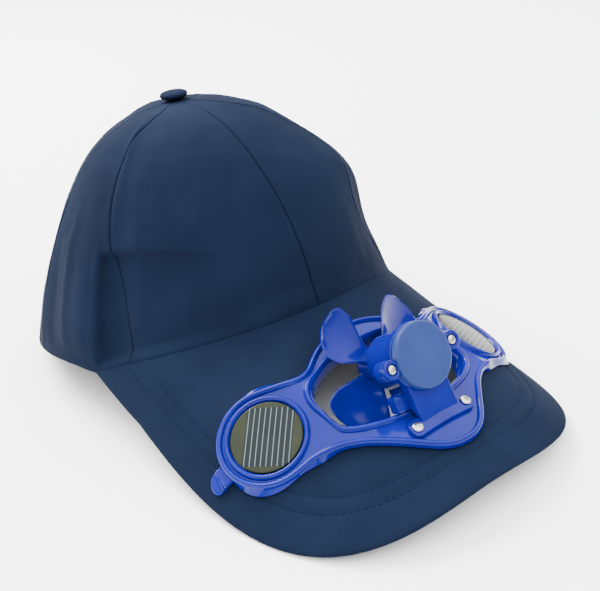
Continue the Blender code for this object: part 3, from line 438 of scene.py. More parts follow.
def frame_loop(count):
    # Half the outline from the middle of the rear arc to the nose, then its mirror.
    arc_centre = FRAME_REAR + REAR_ARC_RADIUS
    turn = np.linspace(0, math.asin(NOTCH_ACROSS / REAR_ARC_RADIUS), 7)
    arc = np.stack([REAR_ARC_RADIUS * np.sin(turn), arc_centre - REAR_ARC_RADIUS * np.cos(turn)], -1)
    nose = [(across * CELL_ACROSS, FRAME_REAR + along * FRAME_DEPTH) for across, along in NOSE_POINTS]

    def touch(point, side):
        # The angle round the lobe at which a straight line from the point touches it.
        across, along = point[0] - CELL_ACROSS, point[1] - CELL_ALONG
        return math.atan2(along, across) + side * math.acos(LOBE_RADIUS / math.hypot(across, along))

    round_lobe = [(LOBE_RADIUS * math.cos(a), LOBE_RADIUS * math.sin(a))
                  for a in np.linspace(touch(arc[-1], 1), touch(nose[0], -1), 34)]
    lobe = np.array(round_lobe) + np.array([CELL_ACROSS, CELL_ALONG])
    half = np.concatenate([arc, lobe, np.array(nose)])
    tip = np.array([[0.0, FRAME_REAR + FRAME_DEPTH]])
    mirror = half[1:][::-1] * np.array([-1.0, 1.0])
    whole = np.concatenate([half, tip, mirror])
    ahead = (whole[:, 1] - OPENING_ALONG - OPENING_HALF_DEPTH * 0.8) / FRONT_DECK
    whole[:, 0] += NOSE_ASIDE * smoothstep(ahead)
    fine = resample(whole, count * 4, True)
    for _ in range(round(OUTLINE_SMOOTHING * count ** 2)):
        fine = (np.roll(fine, 1, axis=0) + 2 * fine + np.roll(fine, -1, axis=0)) / 4
    return counter_clockwise(resample(fine, count, True))


# Meshes
def inside(loop, points):
    x, y = points[:, 0], points[:, 1]
    found = np.zeros(len(points), bool)
    ahead = np.roll(loop, -1, axis=0)
    for (ax, ay), (bx, by) in zip(loop, ahead):
        if ay == by:
            continue
        hit = ((ay > y) != (by > y)) & (x < (bx - ax) * (y - ay) / (by - ay) + ax)
        found ^= hit
    return found


def flat(points):
    return np.concatenate([points, np.zeros((len(points), 1))], 1)


def nearest(points, others):
    # How far each point is from the nearest of the others.
    away = [np.min(np.linalg.norm(points[i:i + 500, None] - others[None], axis=2), axis=1)
            for i in range(0, len(points), 500)]
    return np.concatenate(away)


def fill(loops, spacing, wanted=None):
    # Triangles over the first loop less the others, with an even grid of inner points
    # and the wanted ones.
    outer = loops[0]
    low, high = outer.min(axis=0), outer.max(axis=0)
    rows = []
    row = 0
    q = low[1]
    while q < high[1]:
        shift = spacing / 2 if row % 2 else 0.0
        for s in np.arange(math.floor(low[0] / spacing) * spacing, high[0] + spacing, spacing):
            rows.append((s + shift, q))
        q += spacing * 0.87
        row += 1
    grid = np.array(rows)
    keep = inside(outer, grid)
    for hole in loops[1:]:
        keep &= ~inside(hole, grid)
    edge_points = np.concatenate([np.concatenate([loop * (1 - f) + np.roll(loop, -1, axis=0) * f
                                                  for f in (0.0, 0.25, 0.5, 0.75)]) for loop in loops])
    grid = grid[keep]
    if len(grid):
        grid = grid[nearest(grid, edge_points) > spacing * 0.5]
    if wanted is not None:
        keep = inside(outer, wanted)
        for hole in loops[1:]:
            keep &= ~inside(hole, wanted)
        wanted = wanted[keep]
        wanted = wanted[nearest(wanted, edge_points) > 0.6]
        grid = np.concatenate([grid[nearest(grid, wanted) > 1.1], wanted])
    points = np.concatenate(list(loops) + [grid]) if len(grid) else np.concatenate(list(loops))
    edges = []
    start = 0
    for loop in loops:
        n = len(loop)
        edges += [(start + i, start + (i + 1) % n) for i in range(n)]
        start += n
    found = delaunay_2d_cdt([tuple(map(float, p)) for p in points], edges, [], 0, 1e-7)
    out_points, faces = np.array([tuple(p) for p in found[0]]), found[2]
    origin = found[3]
    index = [sources[0] for sources in origin]
    centres = np.array([out_points[list(face)].mean(axis=0) for face in faces])
    keep = inside(outer, centres)
    for hole in loops[1:]:
        keep &= ~inside(hole, centres)
    return grid, [tuple(index[i] for i in face) for face, ok in zip(faces, keep) if ok]


class Body:
    # Gathers points and faces of one closed solid.
    def __init__(self):
        self.points = []
        self.cloth = []
        self.faces = []
        self.count = 0

    def add(self, points, cloth=None):
        # cloth: the same points laid flat, in millimetres.
        points = np.asarray(points, float).reshape(-1, 3)
        first = self.count
        self.points.append(points)
        self.cloth.append(points if cloth is None else np.asarray(cloth, float).reshape(-1, 3))
        self.count += len(points)
        return list(range(first, self.count))

    def bridge(self, one, two, closed=True):
        n = len(one)
        for i in range(n if closed else n - 1):
            j = (i + 1) % n
            self.faces.append((one[i], one[j], two[j], two[i]))

    def cap(self, loops_2d, rings, spacing, place, wanted=None):
        grid, faces = fill(loops_2d, spacing, wanted)
        extra = self.add(place(grid), flat(grid)) if len(grid) else []
        index = [i for ring in rings for i in ring] + extra
        self.faces += [tuple(index[i] for i in face) for face in faces]

    def fan(self, ring, centre):
        middle = self.add([centre])[0]
        n = len(ring)
        for i in range(n):
            self.faces.append((ring[i], ring[(i + 1) % n], middle))

    def all_points(self):
        return np.concatenate(self.points)


def edge_rings(body, steps):
    # steps: (loop in 2D, placing function, height) from the top to the bottom.
    rings = [body.add(place(loop, height), flat(loop)) for loop, place, height in steps]
    for upper, lower in zip(rings, rings[1:]):
        body.bridge(upper, lower)
    return rings


def under_peak(points, share):
    # share: 0 on top to 1 underneath. The peak thins towards the ends of its root.
    points = np.asarray(points, float)
    end = root_line(2)[-1]
    away = np.hypot(np.abs(points[..., 0]) - end[0], points[..., 1] - end[1])
    thin = 1 - smoothstep(away / PEAK_END_TAPER)
    thickness = PEAK_THICKNESS * (1 - thin) + PEAK_END_THICKNESS * thin
    s, q = points[..., 0], points[..., 1]
    return peak_surface(s, q) - peak_normal(s, q) * (thickness * share)[..., None]


def rests(turn):
    # 1 where the rear rim lies flat on the floor, and 0 away from it.
    start = 180 - REAR_FLAT_DEG - REAR_BLEND_DEG
    return smoothstep((np.degrees(np.abs(turn)) - start) / REAR_BLEND_DEG)


def rim_height(turn):
    front = np.clip(turn, -ROOT_END, ROOT_END)
    swell = 1 + rim_swell(front)
    z = peak_height_at(HEAD_HALF_WIDTH * np.sin(front) * swell, -HEAD_HALF_LENGTH * np.cos(front) * swell)
    side = np.where(turn > 0, ROOT_END, -ROOT_END)
    swell = 1 + rim_swell(side)
    end = peak_height_at(HEAD_HALF_WIDTH * np.sin(side) * swell, -HEAD_HALF_LENGTH * np.cos(side) * swell)
    turn = np.abs(turn)
    share = np.clip((turn - ROOT_END) / (math.pi - ROOT_END), 0, 1)
    back = end * (1 - share) ** 2 * (1 + 2 * share) - SIDE_RIM_DIP * 16 * (share * (1 - share)) ** 2
    floor = math.tan(REST_TILT) * (-HEAD_HALF_LENGTH * np.cos(turn) - HEAD_HALF_LENGTH)
    rest = rests(turn)
    return np.where(turn <= ROOT_END, z, back * (1 - rest) + floor * rest)


def crown_surface(turn, row):
    # turn: radians from the front, row: 0 at the rim to 1 at the top.
    table = np.array(CROWN_SECTIONS)
    knots = np.linspace(0, 1, len(table))
    height, front, back, right, left = [smooth_table(row, knots, table[:, i]) for i in range(5)]
    across = np.sin(turn)
    ahead = np.cos(turn)
    rim = rim_height(turn)
    lean = height ** 1.5
    x = HEAD_HALF_WIDTH * across * (left * (1 + across) + right * (1 - across)) / 2
    y = -HEAD_HALF_LENGTH * ahead * (front * (1 + ahead) + back * (1 - ahead)) / 2
    push = np.zeros_like(x)
    for around, where, half_width, half_height, depth in CROWN_FOLDS:
        off = (np.degrees(turn) - around + 180) % 360 - 180
        push = push + depth * HEAD_HALF_WIDTH * np.exp(-(off / half_width) ** 2
                                                       - ((row - where) / half_height) ** 2)
    push = push * smoothstep(row / 0.1)
    swell = rim_swell(turn) * np.maximum(1 - row / RIM_SWELL_ROWS, 0.0) ** 2
    x = x * (1 + swell)
    y = y * (1 + swell)
    x = x + across * push - APEX_ASIDE * lean
    y = y - ahead * push - APEX_FORWARD * lean
    z = rim + (CROWN_HEIGHT - rim) * height
    return np.stack([x, y, z], -1)


# The lobes that hold the cells are flat, and the rest of the frame follows the peak.
LOBES = {}
for side in (-1, 1):
    middle = np.array([side * CELL_ACROSS, CELL_ALONG])
    centre = on_peak(middle, 0.0)
    normal = peak_normal(middle[0], middle[1])
    across = on_peak(middle + np.array([0.1, 0.0]), 0.0) - centre
    across -= normal * np.dot(across, normal)
    across /= np.linalg.norm(across)
    along = np.cross(across, normal)
    LOBES[side] = (middle, centre, across, along, normal)


def on_deck(points, height):
    points = np.asarray(points, float)
    result = on_peak(points, height)
    for middle, centre, across, along, normal in LOBES.values():
        local = points - middle
        flat = (centre + local[:, :1] * across + local[:, 1:] * along
                + normal * (height - LOBE_SINK))
        reach = np.linalg.norm(local, axis=1)
        weight = 1 - smoothstep((reach - LOBE_RADIUS) / LOBE_BLEND)
        result = result * (1 - weight[:, None]) + flat * weight[:, None]
    return result


def circle(centre, radius, count):
    t = np.linspace(0, 2 * math.pi, count, endpoint=False)
    return np.stack([centre[0] + radius * np.cos(t), centre[1] + radius * np.sin(t)], -1)


# The motor's axis points forward and up from the middle of the opening.
TILT = math.radians(FAN_TILT_DEG)
AXIS_FRONT = np.array([0.0, -math.cos(TILT), math.sin(TILT)])
AXIS_ACROSS = np.array([1.0, 0.0, 0.0])
AXIS_UP = np.array([0.0, math.sin(TILT), math.cos(TILT)])
COVER_CENTRE = peak_surface(0.0, OPENING_ALONG) + np.array([0.0, -COVER_AHEAD, COVER_ABOVE])


def on_axis(across, up, back):
    # back is the distance behind the cover's face.
    across, up, back = np.broadcast_arrays(*[np.asarray(v, float) for v in (across, up, back)])
    return (COVER_CENTRE + across[..., None] * AXIS_ACROSS + up[..., None] * AXIS_UP
            - back[..., None] * AXIS_FRONT)


def turned(profile, count, place):
    # profile: (radius, back) pairs; a radius of 0 is a single point.
    body = Body()
    t = np.linspace(0, 2 * math.pi, count, endpoint=False)
    rings = []
    for radius, back in profile:
        if radius == 0:
            rings.append((None, place(0.0, 0.0, back)))
        else:
            rings.append((body.add(place(radius * np.cos(t), radius * np.sin(t), back)), None))
    for (one, one_point), (two, two_point) in zip(rings, rings[1:]):
        if one is None:
            body.fan(two, one_point)
        elif two is None:
            body.fan(one, two_point)
        else:
            body.bridge(one, two)
    return body


def beside_axis(across):
    return lambda x, y, back: on_axis(np.asarray(x) + across, y, back)


def lobe_place(side):
    centre, across, along, normal = LOBES[side][1:]

    def place(x, y, height):
        x, y, height = np.broadcast_arrays(*[np.asarray(v, float) for v in (x, y, height)])
        return (centre + x[..., None] * across + y[..., None] * along
                + (height[..., None] - LOBE_SINK) * normal)
    return place


def base_place(side):
    # Upright on the base plate, over a screw.
    place = np.array([side * BASE_SCREW_ACROSS, BASE_ALONG])
    centre = on_peak(place, 0.0)
    normal = peak_normal(place[0], place[1])
    across = np.cross(np.array([0.0, 1.0, 0.0]), normal)
    across /= np.linalg.norm(across)
    along = np.cross(normal, across)

    def put(x, y, height):
        x, y, height = np.broadcast_arrays(*[np.asarray(v, float) for v in (x, y, height)])
        return centre + x[..., None] * across + y[..., None] * along + height[..., None] * normal
    return put


def in_world(points):
    cosine, sine = math.cos(REST_TILT), math.sin(REST_TILT)
    y = points[:, 1] - HEAD_HALF_LENGTH
    tipped = np.stack([points[:, 0], HEAD_HALF_LENGTH + cosine * y + sine * points[:, 2],
                       -sine * y + cosine * points[:, 2]], -1)
    return (tipped + SHIFT) * MM


def new_mesh(name, points, faces):
    mesh = bpy.data.meshes.new(name)
    mesh.from_pydata(np.asarray(points).tolist(), [], faces)
    shape = bmesh.new()
    shape.from_mesh(mesh)
    bmesh.ops.recalc_face_normals(shape, faces=shape.faces)
    shape.to_mesh(mesh)
    shape.free()
    return mesh


def show(name, mesh, material, rides="hat", sharp_deg=38.0, slot=None, stands_for=()):
    mesh.materials.clear()
    mesh.materials.append(material)
    mesh.shade_smooth()
    mesh.set_sharp_from_angle(angle=math.radians(sharp_deg))
    made = bpy.data.objects.new(name, mesh)
    scene.collection.objects.link(made)
    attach(made, rides)
    if stands_for:
        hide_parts(*stands_for)
    return made


def show_body(name, shape, material, **options):
    # The piece's own coordinates, in millimetres, go along as "weave" for the materials.
    mesh = new_mesh(name, in_world(shape.all_points()), shape.faces)
    weave = mesh.attributes.new("weave", "FLOAT_VECTOR", "POINT")
    weave.data.foreach_set("vector", np.concatenate(shape.cloth).astype(np.float32).ravel())
    return show(name, mesh, material, **options)


def joined(*bodies):
    whole = Body()
    for body in bodies:
        first = whole.count
        whole.add(body.all_points(), np.concatenate(body.cloth))
        whole.faces += [tuple(i + first for i in face) for face in body.faces]
    return whole


# Materials
def add_node(tree, kind, settings=(), values=(), links=()):
    made = tree.nodes.new(kind)
    for key, value in settings:
        setattr(made, key, value)
    for key, value in values:
        made.inputs[key].default_value = value
    for key, source in links:
        tree.links.new(source, made.inputs[key])
    return made


def new_material(name, values):
    made = bpy.data.materials.new(name)
    made.use_nodes = True
    shader = made.node_tree.nodes["Principled BSDF"]
    for key, value in values:
        shader.inputs[key].default_value = value
    return made, made.node_tree, shader


def blend_colours(tree, share, dark, light):
    mixed = add_node(tree, "ShaderNodeMix", (("data_type", "RGBA"),))
    tree.links.new(share, mixed.inputs["Factor"])
    for key, colour in (("A", dark), ("B", light)):
        socket = [s for s in mixed.inputs if s.name == key and s.type == "RGBA"][0]
        if hasattr(colour, "links"):
            tree.links.new(colour, socket)
        else:
            socket.default_value = (*colour, 1.0)
    return [s for s in mixed.outputs if s.type == "RGBA"][0]


def between(tree, value, low, high, to_low=0.0, to_high=1.0, smooth=True):
    made = add_node(tree, "ShaderNodeMapRange",
                    (("interpolation_type", "SMOOTHSTEP" if smooth else "LINEAR"),),
                    (("From Min", low), ("From Max", high), ("To Min", to_low), ("To Max", to_high)),
                    (("Value", value),))
    return made.outputs["Result"]


def sums(tree, operation, one, two):
    made = add_node(tree, "ShaderNodeMath", (("operation", operation),))
    for socket, value in zip(made.inputs, (one, two)):
        if hasattr(value, "links"):
            tree.links.new(value, socket)
        else:
            socket.default_value = value
    return made.outputs[0]


WAVE_PERIOD = 2 * math.pi / 20  # of a wave texture at scale 1


# How much of the cloth's shade comes from its yarns, its fibres and its uneven fading.
YARN_SHARE = 0.18
FIBRE_SHARE = 0.30
FADING_SHARE = 0.55


def cloth_material(name, dark, light, rib_mm):
    # Cotton twill: slanting ribs with yarns across them, and slow uneven fading.
    made, tree, shader = new_material(name, (
        ("Roughness", 0.86), ("Specular IOR Level", 0.04), ("Sheen Weight", 0.0),
        ("Sheen Roughness", 0.45), ("Sheen Tint", (0.55, 0.70, 1.0, 1.0))))
    weave = add_node(tree, "ShaderNodeAttribute", (("attribute_name", "weave"),)).outputs["Vector"]
    ribs = []
    for slant_deg, period in ((58.0, rib_mm), (-32.0, rib_mm * 0.52)):
        turned_weave = add_node(tree, "ShaderNodeMapping", (),
                                (("Rotation", (0.0, 0.0, math.radians(slant_deg))),),
                                (("Vector", weave),)).outputs["Vector"]
        ribs.append(add_node(tree, "ShaderNodeTexWave", (),
                             (("Scale", WAVE_PERIOD / period), ("Distortion", 0.5), ("Detail", 1.0)),
                             (("Vector", turned_weave),)).outputs["Fac"])
    yarn = sums(tree, "MULTIPLY", ribs[0], between(tree, ribs[1], 0.0, 1.0, 0.55, 1.0))
    fibres = add_node(tree, "ShaderNodeTexNoise", (), (("Scale", 2.6), ("Detail", 3.0)),
                      (("Vector", weave),)).outputs["Fac"]
    place = add_node(tree, "ShaderNodeTexCoord").outputs["Object"]
    fading = add_node(tree, "ShaderNodeTexNoise", (), (("Scale", 26.0), ("Detail", 4.0), ("Roughness", 0.55)),
                      (("Vector", place),)).outputs["Fac"]
    mottle = sums(tree, "ADD", sums(tree, "MULTIPLY", fibres, FIBRE_SHARE),
                  sums(tree, "MULTIPLY", fading, FADING_SHARE))
    shade = sums(tree, "ADD", sums(tree, "MULTIPLY", yarn, YARN_SHARE), mottle)
    colour = blend_colours(tree, between(tree, shade, 0.28, 0.80), dark, light)
    tree.links.new(colour, shader.inputs["Base Color"])
    relief = sums(tree, "ADD", yarn, sums(tree, "MULTIPLY", fibres, 0.6))
    bump = add_node(tree, "ShaderNodeBump", (), (("Strength", 0.22), ("Distance", 0.00016)),
                    (("Height", relief),))
    tree.links.new(bump.outputs["Normal"], shader.inputs["Normal"])
    return made


def plastic_material(name, deep, bright, low_rough, high_rough, coat):
    # Moulded plastic: faint flow marks in the colour, uneven gloss and a fine orange peel.
    made, tree, shader = new_material(name, (
        ("IOR", 1.5), ("Specular IOR Level", 0.12), ("Coat Weight", coat), ("Coat Roughness", 0.06)))
    place = add_node(tree, "ShaderNodeTexCoord").outputs["Object"]
    flow = add_node(tree, "ShaderNodeTexNoise", (), (("Scale", 38.0), ("Detail", 3.0), ("Distortion", 0.8)),
                    (("Vector", place),)).outputs["Fac"]
    colour = blend_colours(tree, between(tree, flow, 0.25, 0.75), deep, bright)
    tree.links.new(colour, shader.inputs["Base Color"])
    wear = add_node(tree, "ShaderNodeTexNoise", (), (("Scale", 160.0), ("Detail", 5.0)),
                    (("Vector", place),)).outputs["Fac"]
    tree.links.new(between(tree, wear, 0.3, 0.75, low_rough, high_rough), shader.inputs["Roughness"])
    peel = add_node(tree, "ShaderNodeTexNoise", (), (("Scale", 900.0), ("Detail", 2.0)),
                    (("Vector", place),)).outputs["Fac"]
    bump = add_node(tree, "ShaderNodeBump", (), (("Strength", 0.06), ("Distance", 0.0001)),
                    (("Height", peel),))
    tree.links.new(bump.outputs["Normal"], shader.inputs["Normal"])
    return made


CELL_LINE_COUNT = 9
CELL_LINE_PITCH = 2.25
CELL_LINE_FIRST = -7.9
CELL_LINE_WIDTH = 0.34
CELL_HALF_LENGTH = 12.2


def cell_material(name):
    # A clear-coated cell: a grey-green ground, a bluish sheet and pale contact lines on it.
    made, tree, shader = new_material(name, (
        ("Roughness", 0.14), ("IOR", 1.45), ("Specular IOR Level", 0.08),
        ("Coat Weight", 0.02), ("Coat Roughness", 0.03)))
    cell = add_node(tree, "ShaderNodeAttribute", (("attribute_name", "weave"),)).outputs["Vector"]
    split = add_node(tree, "ShaderNodeSeparateXYZ", (), (), (("Vector", cell),))
    across, along = split.outputs["X"], split.outputs["Y"]
    step = sums(tree, "DIVIDE", sums(tree, "SUBTRACT", across, CELL_LINE_FIRST), CELL_LINE_PITCH)
    off = sums(tree, "ABSOLUTE", sums(tree, "SUBTRACT", step, sums(tree, "ROUND", step, 0.0)), 0.0)
    half = CELL_LINE_WIDTH / CELL_LINE_PITCH / 2
    line = between(tree, off, half * 0.7, half * 1.5, 1.0, 0.0)
    last = CELL_LINE_FIRST + CELL_LINE_PITCH * (CELL_LINE_COUNT - 1)
    sheet = sums(tree, "MULTIPLY", between(tree, across, CELL_LINE_FIRST - 0.9, CELL_LINE_FIRST - 0.7),
                 between(tree, across, last + 0.7, last + 0.9, 1.0, 0.0))
    ends = sums(tree, "MULTIPLY", between(tree, along, -CELL_HALF_LENGTH - 0.1, -CELL_HALF_LENGTH + 0.1),
                between(tree, along, CELL_HALF_LENGTH - 0.1, CELL_HALF_LENGTH + 0.1, 1.0, 0.0))
    sheet = sums(tree, "MULTIPLY", sheet, ends)
    cloud = add_node(tree, "ShaderNodeTexNoise", (), (("Scale", 0.12), ("Detail", 3.0)),
                     (("Vector", cell),)).outputs["Fac"]
    ground = blend_colours(tree, cloud, (0.010, 0.013, 0.007), (0.022, 0.025, 0.014))
    dark = blend_colours(tree, cloud, (0.004, 0.007, 0.009), (0.011, 0.016, 0.018))
    striped = blend_colours(tree, line, dark, (0.085, 0.105, 0.100))
    tree.links.new(blend_colours(tree, sheet, ground, striped), shader.inputs["Base Color"])
    return made


def steel_material(name):
    made, tree, shader = new_material(name, (("Base Color", (0.40, 0.40, 0.38, 1.0)), ("Metallic", 1.0)))
    place = add_node(tree, "ShaderNodeTexCoord").outputs["Object"]
    grain = add_node(tree, "ShaderNodeTexNoise", (), (("Scale", 700.0), ("Detail", 4.0)),
                     (("Vector", place),)).outputs["Fac"]
    tree.links.new(between(tree, grain, 0.2, 0.8, 0.16, 0.36), shader.inputs["Roughness"])
    bump = add_node(tree, "ShaderNodeBump", (), (("Strength", 0.12), ("Distance", 0.0001)),
                    (("Height", grain),))
    tree.links.new(bump.outputs["Normal"], shader.inputs["Normal"])
    return made


CLOTHS = {
    # dark_colour, light_colour, rib_mm
    "navy_cloth": ((0.0024, 0.0049, 0.0142), (0.0051, 0.0105, 0.0252), 0.62),
    "navy_thread": ((0.0022, 0.0052, 0.0170), (0.0048, 0.0110, 0.0320), 0.3),
}
PLASTICS = {
    # deep_colour, bright_colour, low_rough, high_rough, coat
    "blue_plastic": ((0.0009, 0.0030, 0.1150), (0.0023, 0.0060, 0.1600), 0.08, 0.16, 0.08),
    "cover_plastic": ((0.0115, 0.0250, 0.1050), (0.0150, 0.0310, 0.1280), 0.34, 0.44, 0.05),
}
navy = cloth_material("navy_cloth", *CLOTHS["navy_cloth"])
thread = cloth_material("navy_thread", *CLOTHS["navy_thread"])
blue = plastic_material("blue_plastic", *PLASTICS["blue_plastic"])
cover_blue = plastic_material("cover_plastic", *PLASTICS["cover_plastic"])
cell_face = cell_material("cell")
steel = steel_material("screw_steel")

# Crown: six panels sewn edge to edge. Columns of points crowd along the seams, where
# the cloth dips into the seam and swells beside it; folds are laid over the whole.
SEAM_STEPS = np.array([0.3, 0.65, 1.1, 1.8, 2.8, 4.2])
PANEL_COLUMNS = 38
PANEL_COUNT = 6
FINE_ROWS = 112
SEAM_DEPTH = 0.75
SEAM_HALF = 0.32
SEAM_SWELL = 0.16
SEAM_SWELL_AT = 1.9
SEAM_SWELL_HALF = 1.1
CLOTH_WAVE = 0.55
CLOTH_WAVE_SCALE = 0.045
CLOTH_RIPPLE = 0.16
CLOTH_RIPPLE_SCALE = 0.16

# Three seams wander with the cloth; the others are straight.
SEAM_ROUNDING = 0.06
SEAM_LINES = (
    # row, rear_right_deg, front_right_deg, front_left_deg
    (0.00, -101.0, -57.5, 46.0),
    (0.12, -101.0, -59.5, 42.5),
    (0.26, -101.0, -62.5, 36.0),
    (0.36, -101.0, -65.5, 36.0),
    (0.46, -101.0, -67.0, 43.0),
    (0.60, -101.0, -67.5, 48.0),
    (0.74, -101.0, -63.0, 40.5),
    (0.92, -96.0, -47.0, 26.0),
    (1.00, -96.0, -43.0, 23.0),
)

# Soft folds of the cloth, beside those that the solids have: where round the crown and
# how far it leans with the rows, which rows it spans, how wide, and how high in mm.
SOFT_FOLDS = (
    # around, lean, row_low, row_high, half_width, height
    (-84.0, -6.0, 0.00, 0.55, 2.6, 0.9),
    (-92.0, -8.0, 0.00, 0.48, 3.0, -0.8),
    (-101.0, -6.0, 0.02, 0.60, 3.4, 0.8),
    (-112.0, -4.0, 0.00, 0.50, 4.2, -0.7),
    (-66.0, 4.0, 0.38, 0.92, 2.4, 0.8),
    (-56.0, 3.0, 0.10, 0.60, 1.6, 0.4),
    (-40.0, 10.0, 0.05, 0.40, 3.6, 0.5),
    (-20.0, 12.0, 0.04, 0.34, 4.6, -0.5),
    (24.0, 8.0, 0.04, 0.40, 4.0, 0.6),
    (38.0, 14.0, 0.05, 0.50, 3.2, -0.7),
    (72.0, -10.0, 0.02, 0.52, 3.4, 0.9),
    (84.0, -8.0, 0.00, 0.46, 3.6, -0.8),
    (112.0, 5.0, 0.05, 0.50, 5.0, 0.7),
    (150.0, -6.0, 0.05, 0.55, 6.0, -0.7),
    (-150.0, 6.0, 0.05, 0.55, 6.0, 0.7),
)

# The one sharp fold: the side panel laps over the front one low on the wearer's right,
# and a crease runs level from the top of the lap across the front panel.
LAP_AT_DEG = -69.5
LAP_TOP_ROW = 0.366
LAP_TOP_CURVE = 0.00004
LAP_DEPTH = 3.2
LAP_EDGE_DEG = 0.4
LAP_CREASE_ROWS = 0.014
LAP_FADE_FROM_DEG = -52.0
LAP_FADE_TO_DEG = -14.0
LAP_RIDGE = 0.7
LAP_RIDGE_BEFORE_DEG = 1.6
LAP_RIDGE_HALF_DEG = 1.3


def fold_detail(turn, row):
    degrees = np.degrees(turn)
    height = np.zeros_like(turn)
    for around, lean, row_low, row_high, half_width, rise in SOFT_FOLDS:
        off = (degrees - around - lean * row + 180) % 360 - 180
        span = smoothstep((row - row_low) / 0.12) * smoothstep((row_high - row) / 0.22)
        height += rise * span * np.exp(-(off / half_width) ** 2)
    lapped = smoothstep((degrees - LAP_AT_DEG + LAP_EDGE_DEG) / (2 * LAP_EDGE_DEG))
    top = LAP_TOP_ROW - LAP_TOP_CURVE * np.maximum(0, degrees - LAP_AT_DEG) ** 2
    below = smoothstep((top - row) / LAP_CREASE_ROWS)
    faded = 1 - smoothstep((degrees - LAP_FADE_FROM_DEG) / (LAP_FADE_TO_DEG - LAP_FADE_FROM_DEG))
    height -= LAP_DEPTH * lapped * below * faded
    before = (degrees - LAP_AT_DEG + LAP_RIDGE_BEFORE_DEG) / LAP_RIDGE_HALF_DEG
    height += LAP_RIDGE * np.exp(-before ** 2) * smoothstep((LAP_TOP_ROW + 0.06 - row) / 0.1)
    return height * smoothstep(row / 0.05) * smoothstep((1 - row) / 0.12)


def seam_detail(distance, width):
    small = np.minimum(1, width / 22)
    return small * (-SEAM_DEPTH * np.exp(-(distance / SEAM_HALF) ** 2)
                    + SEAM_SWELL * np.exp(-((distance - SEAM_SWELL_AT) / SEAM_SWELL_HALF) ** 2))


def seam_turn(row, column):
    # One column of SEAM_LINES, with its corners rounded.
    table = np.array(SEAM_LINES)
    steps = np.linspace(-SEAM_ROUNDING, SEAM_ROUNDING, 13)
    turns = [np.interp(row + step, table[:, 0], table[:, column]) for step in steps]
    return np.radians(np.mean(turns, axis=0))


def crown_columns(row):
    # For every row: the turn of each column, its distance from the nearest seam, its
    # place across its own panel and the panel's width there.
    samples = 41
    parts = []
    straight = [np.full(len(row), -math.pi + i * 2 * math.pi / PANEL_COUNT)
                for i in range(PANEL_COUNT + 1)]
    wandering = [seam_turn(row, column) for column in (1, 2, 3)]
    lines = [straight[0], wandering[0], wandering[1], straight[3], wandering[2]] + straight[5:]
    for start, stop in zip(lines, lines[1:]):
        turn = start[:, None] + (stop - start)[:, None] * np.linspace(0, 1, samples)[None]
        points = crown_surface(turn, row[:, None] * np.ones((1, samples)))
        run = np.concatenate([np.zeros((len(row), 1)), np.cumsum(
            np.linalg.norm(np.diff(points, axis=1), axis=2), axis=1)], 1)
        width = run[:, -1:]
        near = SEAM_STEPS[None] * np.minimum(1, width / 26)
        share = np.linspace(0, 1, PANEL_COLUMNS + 2)[None, 1:-1]
        inner = near[:, -1:] + (width - 2 * near[:, -1:]) * share
        where = np.concatenate([np.zeros_like(width), near, inner, width - near[:, ::-1]], 1)
        columns = np.stack([np.interp(where[i], run[i], turn[i]) for i in range(len(row))])
        parts.append((columns, np.minimum(where, width - where), where - width / 2, width + 0 * where))
    return [np.concatenate([part[i] for part in parts], 1) for i in range(4)]


def cloth_waves(points, seed):
    waves = np.empty(len(points))
    for i, point in enumerate(points.tolist()):
        place = Vector(point)
        waves[i] = (noise.noise(place * CLOTH_WAVE_SCALE + Vector((seed, 0, 0))) * CLOTH_WAVE
                    + noise.noise(place * CLOTH_RIPPLE_SCALE + Vector((0, seed, 0))) * CLOTH_RIPPLE)
    return waves


